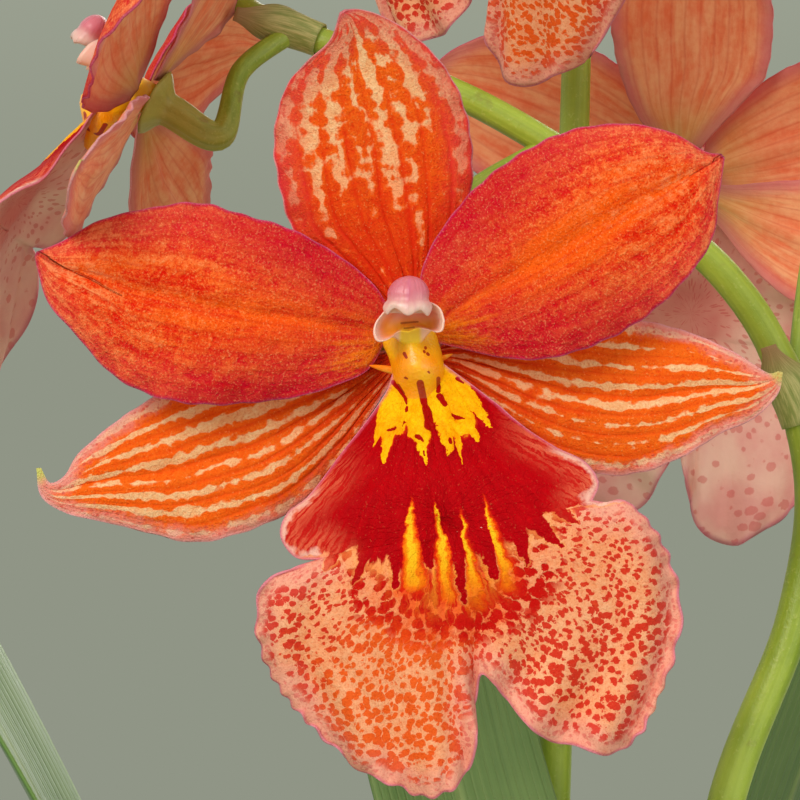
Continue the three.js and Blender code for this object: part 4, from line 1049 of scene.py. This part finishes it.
for number, bloom in enumerate(BLOOMS, 1):
    near = number == 1
    rows, cols = GRIDS["lip"][not near]
    lip = blade(titled(number, "lip_blade"), rows, cols, lip_points(bloom, near), LIP["thickness"],
                TEPAL["rim"], bloom["mirror"] < 0)
    carry(lip, "lip", [lip_paint, lip_back], titled(number, "lip"))


# Callus bulge: the glossy yellow knob at the lip's root, which rises to the column's foot. It is
# fleshy and solid, and grows as one with the lip. Its loops stand one under another: height,
# middle, half widths before and behind, depth, half depth.
BULGE = [(1.6, 0, 0.02, 0.02, 2.6, 0.02), (1.5, 0, 0.75, 1.6, 2.6, 1.1), (0.2, 0, 0.85, 2.7, 2.2, 2.3),
         (-1.0, 0.1, 1.15, 3.0, 2.2, 2.7), (-2.1, 0.5, 1.9, 2.9, 2.4, 2.9), (-3.4, 0.8, 2.3, 2.8, 2.8, 2.9),
         (-4.6, 0.9, 2.3, 2.7, 2.6, 2.4), (-5.6, 1.0, 2.2, 2.4, 2.2, 1.9), (-6.8, 1.0, 1.8, 1.8, 2.0, 1.3),
         (-8.2, 1.0, 1.0, 1.0, 1.9, 0.8), (-8.6, 1.0, 0.02, 0.02, 1.9, 0.02)]
BULGE_MARKS = [((-0.6, -2.0), (-0.4, -2.4), 0.2, 0.16), ((1.6, -1.35), (1.62, -1.45), 0.15, 0.15),
               ((1.45, -1.75), (1.5, -1.85), 0.14, 0.14), ((1.8, -2.0), (1.9, -2.1), 0.17, 0.17),
               ((-0.5, -4.5), (-0.3, -4.6), 0.13, 0.1), ((1.9, -3.9), (2.0, -4.0), 0.12, 0.1),
               ((1.05, -5.1), (1.5, -7.2), 0.42, 0.4), ((-1.3, -5.4), (-0.8, -6.2), 0.3, 0.3),
               ((2.95, -4.6), (2.95, -6.0), 0.24, 0.2)]
bulge_paint, start = material("callus_gold", (252, 157, 3), Coat_Weight=0.2, Coat_Roughness=0.2,
                              Subsurface_Weight=0.1, Subsurface_Radius=(1.6 * MM, 0.9 * MM, 0.3 * MM))
place = where(start)
flat = flat_mm(start)
x, y, _ = flat.parts()
cloud = place.noise(420, 3, 0.5)
grit = place.noise(3800, 2, 0.6)
tone = cloud.smooth(0.35, 0.7).tint((255, 156, 0), (255, 186, 8))
tone = (y.smooth(-2.8, -0.6) * 0.7).tint(tone, (255, 206, 30))
# Painted shade: the sides of the upper bulge, in the recess under the hood, are darkened to an olive
# yellow.
flank_shade = (abs(x) + cloud.level(0.4)).smooth(0.9, 1.5) * y.smooth(-2.2, -1.0)
tone = (flank_shade * 0.7).tint(tone, (232, 160, 22))
marks = from_strokes(flat, BULGE_MARKS)
tone = (marks.smooth(1.05, 0.8) * 0.95).tint(tone, (162, 14, 4))
dress(bulge_paint, tone, cloud * 0.2 + 0.22, cloud + grit * 0.4, 0.2)


# Callus wings: two low fleshy ridges that run out from the bulge's sides and thin to a point. They
# grow as one with the callus. Each has its root and its point, and a taper of share and radius.
WING_TAPER = [(0, 0.01), (0.01, 0.45), (0.3, 0.42), (0.65, 0.3), (0.9, 0.14), (1, 0.01)]
WINGS = [((-1.0, -3.9, 2.5), (-4.3, -3.2, 0.8)), ((1.8, -3.1, 2.5), (4.5, -2.0, 0.7))]
wing_paint, start = fleshy("callus_wing", (236, 200, 90))
cloud = where(start).noise(700, 3, 0.6)
tone = cloud.smooth(0.35, 0.7).tint((240, 124, 20), (238, 166, 60))
dress(wing_paint, tone, 0.4, cloud, 0.1)


def skin(name, rings, plane=None):
    """A closed piece through rings of points, whose first and last point are the same."""
    rings = np.asarray(rings)
    rows, cols = rings.shape[0] - 1, rings.shape[1] - 1

    def pick(grid, u, v):
        return grid[np.round(u * rows).astype(int), np.round(v * cols).astype(int)]
    made, _, _ = mapped(name, rows, cols, lambda u, v: pick(rings, u, v), closed=True)
    if plane is not None:
        mesh = made.data
        flats = np.array([pick(np.asarray(plane), *[np.array([c]) for c in (uv.uv[1], uv.uv[0])])[0]
                           for uv in mesh.uv_layers["shares"].data])
        layer = mesh.uv_layers.new(name="plane")
        layer.data.foreach_set("uv", (flats[:, :2] * 0.01 + 0.5).astype(np.float32).ravel())
    return made


def lofted(loops, rows):
    """Rings that pass smoothly through a few loops."""
    loops = np.asarray(loops, float)
    line = through(loops.reshape(len(loops), -1))
    return line(np.linspace(0, 1, rows + 1)).reshape(rows + 1, -1, 3)


def bulge_rings(rows, cols):
    turns = np.linspace(0, math.tau, cols + 1)
    ahead = smooth(np.sin(turns), -0.2, 0.9)
    return lofted([np.column_stack([x + (behind + (before - behind) * ahead) * np.cos(turns), y + 0 * turns,
                                    z + deep * np.sin(turns)])
                   for y, x, before, behind, z, deep in BULGE], rows)


def wing_rings(first, last, rows, cols):
    """A low ridge that thins from its root to its point."""
    turns = np.linspace(0, math.tau, cols + 1)
    return lofted([np.column_stack([0 * turns, reach * np.cos(turns), reach * np.sin(turns)]) + first
                   + (last - first) * at for at, reach in WING_TAPER], rows)


def in_bloom(name, rings, bloom):
    rings = np.asarray(rings)
    flat = rings.reshape(-1, 3)
    return skin(name, seated(bloom, flat).reshape(rings.shape), rings)


for number, bloom in enumerate(BLOOMS, 1):
    near = number == 1
    rows, cols = GRIDS["callus"][not near]
    bulge = in_bloom(titled(number, "callus_bulge"), bulge_rings(rows, cols), bloom)
    carry(bulge, "lip", [bulge_paint])
    for side, (first, last) in enumerate(WINGS if near else [], 1):
        wing = in_bloom(f"callus_wing_{side}", wing_rings(np.array(first), np.array(last), 20, 20), bloom)
        carry(wing, "lip", [wing_paint])


# Column: the waxy stalk over the lip. Its head opens in a hooded cup between two ear-like wings,
# and the anther cap sits over the cup. The hood is an outline, the neck rings of height, depth and
# radius, and the cap loops of height and reach.
HOOD = [(3.57, 1.4), (3.15, 2.6), (2.1, 3.3), (0, 3.9), (-1.9, 3.3), (-2.7, 2.35), (-3.57, 1.2),
        (-3.8, 0.05), (-3.36, -0.8), (-2.3, -0.6), (-1.15, 0.2), (-0.2, 0.15), (0.9, 0.5), (1.9, 0.4),
        (2.7, 0.15), (3.36, 0.36)]
NECK = [(0.0, -1.9, 0.02), (0.0, -1.9, 1.7), (0.0, -1.2, 1.95), (0.1, 1.2, 1.9), (0.6, 3.0, 1.9),
        (1.1, 4.6, 2.15)]
# The head's loops: share of the hood's outline, depth and how far the wings stand out.
HEAD = [(0.84, 5.7, 0), (1.0, 6.7, 0.5), (0.97, 7.0, 0.7), (0.9, 6.8, 0.5), (0.66, 5.6, 0), (0.3, 5.0, 0),
        (0.01, 4.9, 0)]
HEART = (-0.1, 1.7)


def column_rings(rows, cols):
    turns = np.linspace(0, math.tau, cols + 1)
    mouth = through(HOOD + HOOD[:1])(np.linspace(0, 1, cols + 1))
    loops = [np.column_stack([radius * np.cos(turns), y + radius * np.sin(turns), z + 0 * turns])
             for y, z, radius in NECK]
    for share, z, wings in HEAD:
        flat = HEART + (mouth - HEART) * share
        loops.append(np.column_stack([flat, z + wings * np.abs(flat[:, 0]) / 3.6 - 0.12 * flat[:, 1]]))
    return lofted(loops, rows)


CAP = [(2.9, 0.1), (2.7, 1.2), (2.35, 1.95), (2.15, 2.3), (2.6, 2.55), (3.1, 2.45), (3.5, 2.15),
       (4.3, 2.15), (5.0, 1.85), (5.5, 1.4), (5.85, 0.75), (6.0, 0.02)]


def cap_rings(rows, cols):
    """The cap, as loops about its upright axis, with a scalloped skirt in front."""
    turns = np.linspace(0, math.tau, cols + 1)
    front = np.sin(turns)
    ahead = turns - math.pi / 2
    lobes = 0.32 * np.cos(5.2 * ahead) + 0.12 * np.sin(2 * turns)
    keel = 1 + 0.05 * bell(turns, math.pi / 2, 0.25) - 0.03 * bell(np.abs(ahead), 0.5, 0.2)
    loops = []
    for y, reach in CAP:
        skirt = smooth(np.array(y), 3.6, 2.3) * smooth(front, -0.2, 0.6)
        lean = -0.2 + 0.05 * (y - 3.9)
        depth = 8.1 + 0.74 * reach * front * keel - 0.1 * (y - 3.9)
        loops.append(np.column_stack([lean + reach * np.cos(turns), y - skirt * lobes, depth]))
    return lofted(loops, rows)


column_paint, start = material("column_wax", (234, 195, 177), Specular_IOR_Level=0.5, Subsurface_Weight=0.3,
                               Subsurface_Radius=(1.2 * MM, 0.7 * MM, 0.5 * MM))
along, across = shares(start)
place = where(start)
flat = flat_mm(start)
x, y, _ = flat.parts()
cloud = place.noise(520, 3, 0.5)
tone = along.smooth(0.45, 0.62).tint((240, 176, 20), (242, 196, 176))
tone = (along.smooth(0.52, 0.66) * y.smooth(1.6, -0.2) * 0.35).tint(tone, (240, 176, 156))
tone = (along.smooth(0.74, 0.86) * 0.95).tint(tone, (246, 150, 122))
tone = (along.smooth(0.76, 0.9) * y.smooth(2.2, 0.9) * 0.95).tint(tone, (250, 168, 40))
tone = (abs(x).smooth(1.4, 0.8) * y.smooth(1.0, 0.5) * along.smooth(0.4, 0.5)).tint(tone, (252, 204, 44))
lines = from_strokes(flat, [((-0.9, 1.15), (0.8, 1.3), 0.13, 0.1), ((-0.6, 0.6), (0.4, 0.7), 0.1, 0.1)])
tone = (lines.smooth(1.1, 0.6) * along.smooth(0.7, 0.76) * 0.7).tint(tone, (150, 60, 10))
tone = (cloud.smooth(0.6, 0.8) * 0.4 * along.smooth(0.5, 0.6)).tint(tone, (214, 84, 70))
dress(column_paint, tone, cloud * 0.2 + 0.3, cloud, 0.15)

cap_paint, start = material("anther_cap_wax", (222, 160, 160), Specular_IOR_Level=0.5,
                            Subsurface_Weight=0.3, Subsurface_Radius=(1.2 * MM, 0.7 * MM, 0.6 * MM))
along, across = shares(start)
place = where(start)
cloud = place.noise(480, 3, 0.5)
streaks = start.triple(across * 26, along * 2, 0).noise(1, 3, 0.6)
tone = (along + (cloud - 0.5) * 0.2 + (streaks - 0.5) * 0.16).smooth(0.36, 0.62).tint(
    (226, 186, 172), (208, 112, 124))
tone = (across.bump(0.25, 0.03) * along.smooth(0.4, 0.6) * 0.4).tint(tone, (196, 96, 130))
tone = (streaks.smooth(0.55, 0.75) * 0.35).tint(tone, (200, 120, 150))
tone = (along.smooth(0.3, 0.1) * 0.8).tint(tone, (214, 150, 110))
dress(cap_paint, tone, 0.32, streaks + cloud, 0.12)

for number, bloom in enumerate(BLOOMS, 1):
    near = number == 1
    column = in_bloom(titled(number, "column_body"), column_rings(*GRIDS["column"][not near]), bloom)
    carry(column, "column", [column_paint], titled(number, "column"))
    cap = in_bloom(titled(number, "cap"), cap_rings(*GRIDS["cap"][not near]), bloom)
    carry(cap, "anther_cap", [cap_paint], *(["anther_cap"] if near else []))


# Flower spikes: two arching green stems with a papery bract at each joint. Short stalks, each
# swollen to a ribbed ovary, leave the joints for the blooms and the buds.
SPIKES = {
    "flower_spike_front": {
        "route": [(19, -33, 97), (17, -34, 160), (16, -33, 230), (18, -29, 300), (25, -24, 348),
                  (33, -21, 369), (35, -20, 384), (30.9, -20, 398.8), (24.8, -20, 407.7),
                  (15.8, -20, 415), (5.8, -20, 421.7), (-4.3, -20, 427.3), (-22.3, -19.5, 434.4),
                  (-28.7, -17, 437.5), (-31.5, -11, 446), (-37, -4, 456), (-47, 1, 466), (-60, 3, 474)],
        "radius": (2.6, 1.1), "bracts": [0.2, 0.42, 0.692, 0.8575],
        "blooms": [(0.692, 2), (0.785, 0), (0.8575, 1)],
        "buds": [(0.9215, (-26, 4, 466), 6), (0.961, (-54, -10, 466), 4.6), (0.995, (-72, 6, 480), 3.4)],
    },
    "flower_spike_back": {
        "route": [(8, 43, 97), (7, 44, 160), (6, 43, 230), (7, 39, 300), (9, 34, 370), (11, 32, 436),
                  (12, 32, 480), (15, 32, 520), (22, 32, 552)],
        "radius": (2.7, 1.1), "bracts": [0.2, 0.42, 0.66, 0.84],
        "blooms": [(0.66, 3), (0.77, 4), (0.84, 5)],
        "buds": [(0.91, (0, 28, 526), 5.6), (0.955, (34, 26, 543), 4.6), (0.995, (28, 35, 567), 3.4)],
    },
}
BRACT = {"length": 9, "flare": 1.1, "thickness": 0.3}
# A bud's loops: share of its size back from its middle, and half width as a share of its size.
BUD = [(-1, 0.02), (-1, 0.3), (-0.75, 0.5), (-0.2, 0.62), (0.45, 0.55), (1, 0.3), (1.35, 0.08),
       (1.42, 0.01)]


def unit(vectors):
    return vectors / np.linalg.norm(vectors, axis=-1, keepdims=True)


def tube_rings(line, radius, rows, cols):
    """Rings round a line, closed flat at both ends. radius() takes the share and the angle."""
    u = np.linspace(0, 1, rows + 1)
    centres = line(u)
    tangents = unit(np.gradient(centres, axis=0))
    turns = np.linspace(0, math.tau, cols + 1)
    side = unit(np.cross(tangents[0], (0.3, 1, 0.2)))
    rings = []
    for share, centre, tangent in zip(u, centres, tangents):
        side = unit(side - tangent * (side @ tangent))
        up = np.cross(tangent, side)
        reach = radius(share, turns) + 0 * turns
        rings.append(centre + np.outer(reach * np.cos(turns), side) + np.outer(reach * np.sin(turns), up))
    ends = [np.repeat(centres[[k]], cols + 1, 0) for k in (0, -1)]
    return np.array([ends[0], *rings, ends[1]])


def stalk_line(stem, share, end, back):
    """The route of a stalk: out of the stem, round, and into the back of its bloom or bud."""
    start = stem(share)
    ahead = unit(stem(share + 0.004) - stem(share - 0.004))
    reach = np.linalg.norm(end - start)
    behind = end + back * 0.42 * reach
    away = start + (behind - start) * 0.45 + ahead * 0.12 * reach
    return through([start, away, behind, end + back * 0.12 * reach, end], 0.25)


def stem_paint(name, light, dark, flush, flush_share):
    made, start = material(name, light, Specular_IOR_Level=0.45)
    along, across = shares(start)
    place = where(start)
    cloud = place.noise(75, 4, 0.6)
    fibres = start.triple(across * 14, along * 9, 0).noise(1, 4, 0.6)
    grain = place.noise(1900, 2, 0.6)
    tone = (cloud * 0.6 + fibres * 0.4).smooth(0.35, 0.68).tint(dark, light)
    tone = (grain.smooth(0.6, 0.72) * 0.4).tint(tone, (190, 198, 104))
    tone = (place.noise(260, 3).smooth(0.66, 0.74) * 0.5).tint(tone, (120, 104, 40))
    tone = ((along + (fibres - 0.5) * 0.3).smooth(0.45, 0.95) * flush_share).tint(tone, flush)
    dress(made, tone, cloud * 0.15 + 0.36, fibres * 0.6 + grain * 0.6, 0.12)
    return made


stem_green = stem_paint("spike_green", (172, 190, 66), (130, 152, 34), (156, 176, 60), 0.2)
stalk_green = stem_paint("stalk_green", (164, 182, 62), (124, 146, 34), (196, 150, 90), 0.4)

bract_paint, start = material("bract_paper", (170, 168, 96))
along, across = shares(start)
fibres = start.triple(across * 26, along * 3, 0).noise(1, 4, 0.6)
tone = fibres.smooth(0.35, 0.7).tint((128, 140, 62), (186, 180, 112))
tone = (along.smooth(0.5, 1) * 0.85).tint(tone, (168, 126, 82))
dress(bract_paint, tone, 0.6, fibres, 0.15)

bud_paint, start = fleshy("bud_flesh", (201, 104, 48))
along, across = shares(start)
place = where(start)
blots = place.noise(700, 3, 0.6)
strokes = start.triple(across * 30, along * 2.5, 0).noise(1, 3, 0.6)
tone = (blots * 0.5 + strokes * 0.5).smooth(0.35, 0.65).tint((196, 92, 44), (222, 132, 66))
tone = (along + (strokes - 0.5) * 0.4).smooth(0.55, 0.15).tint(tone, (158, 160, 62))
tone = (along.smooth(0.8, 1) * 0.5).tint(tone, (170, 158, 66))
seams = (across * 3).zigzag().smooth(0.06, 0)
tone = (seams * 0.6).tint(tone, (150, 58, 36))
dress(bud_paint, tone, 0.42, blots + strokes - seams, 0.2)


def bud_rings(centre, back, size, rows, cols):
    turns = np.linspace(0, math.tau, cols + 1)
    side = unit(np.cross(back, (0.2, 0.1, 1)))
    up = np.cross(side, back)
    seams = 1 - 0.07 * np.abs(np.cos(1.5 * turns)) ** 12
    loops = [centre - back * share * size + (wide * size * seams)[:, None]
             * (np.outer(np.cos(turns), side) + np.outer(np.sin(turns), up)) for share, wide in BUD]
    return lofted(loops, rows)


def bract_points(stem, share, radius):
    centre = stem(share)
    tangent = unit(stem(share + 0.002) - stem(share - 0.002))
    side = unit(np.cross(tangent, (0.3, 1, 0.2)))
    up = np.cross(tangent, side)

    def place(u, v):
        wrap = (2 * v - 1) * (2.5 - 2.25 * smooth(u, 0.15, 1.0))
        reach = radius + 0.25 + (BRACT["flare"] + 0.4) * u ** 2
        out = np.outer(np.cos(wrap), up) + np.outer(np.sin(wrap), side)
        spot = centre + np.outer((u * 1.05 - 0.35) * BRACT["length"], tangent) + out * reach[:, None]
        return spot, np.column_stack([wrap * reach, u * BRACT["length"]])
    return place


bud_count = 0
for spike_name, spike in SPIKES.items():
    stem = through(spike["route"], 0.25)
    near_end, far_end = spike["radius"]

    def thickness(share, turns=0):
        joints = sum(0.22 * bell(share, joint + 0.006, 0.005) for joint in spike["bracts"])
        return near_end + (far_end - near_end) * share ** 2 + joints
    body = skin(f"{spike_name}_stem", tube_rings(stem, thickness, 260, 22))
    carry(body, "flower_stem", [stem_green], spike_name)
    for count, share in enumerate(spike["bracts"], 1):
        sheath = blade(f"{spike_name}_bract_{count}", 20, 24, bract_points(stem, share, thickness(share)),
                       BRACT["thickness"])
        carry(sheath, "flower_stem", [bract_paint, bract_paint])
    for share, index in spike["blooms"]:
        bloom = BLOOMS[index]
        size = bloom["scale"]
        back = -unit(np.array(bloom["face"], float))
        line = stalk_line(stem, share, np.array(bloom["at"]) + back * 2.3 * size, back)

        def swell(u, turns):
            ovary = smooth(u, 0.35, 0.95)
            ribs = 1 + 0.07 * np.cos(6 * turns + 2.5 * u) * smooth(u, 0.4, 0.7)
            return (1.15 + (1.85 * size - 1.15) * ovary) * ribs + 2.0 * smooth(u, 0.93, 1.0)
        stalk = skin(f"bloom_{index + 1}_stalk", tube_rings(line, swell, 64, 36))
        carry(stalk, "flower_stem", [stalk_green])
    for share, spot, size in spike["buds"]:
        bud_count += 1
        end = np.array(spot, float)
        back = unit(stem(share) - end)
        line = stalk_line(stem, share, end + back * (size + 0.3), back)
        rings = tube_rings(line, lambda u, turns: 0.8 + 0.6 * smooth(u, 0.7, 1), 32, 16)
        stalk = skin(f"bud_{bud_count}_stalk", rings)
        carry(stalk, "flower_stem", [stalk_green])
        bud = skin(f"bud_{bud_count}_body", bud_rings(end, back, size, 36, 36))
        carry(bud, "bud", [bud_paint], f"bud_{bud_count}")
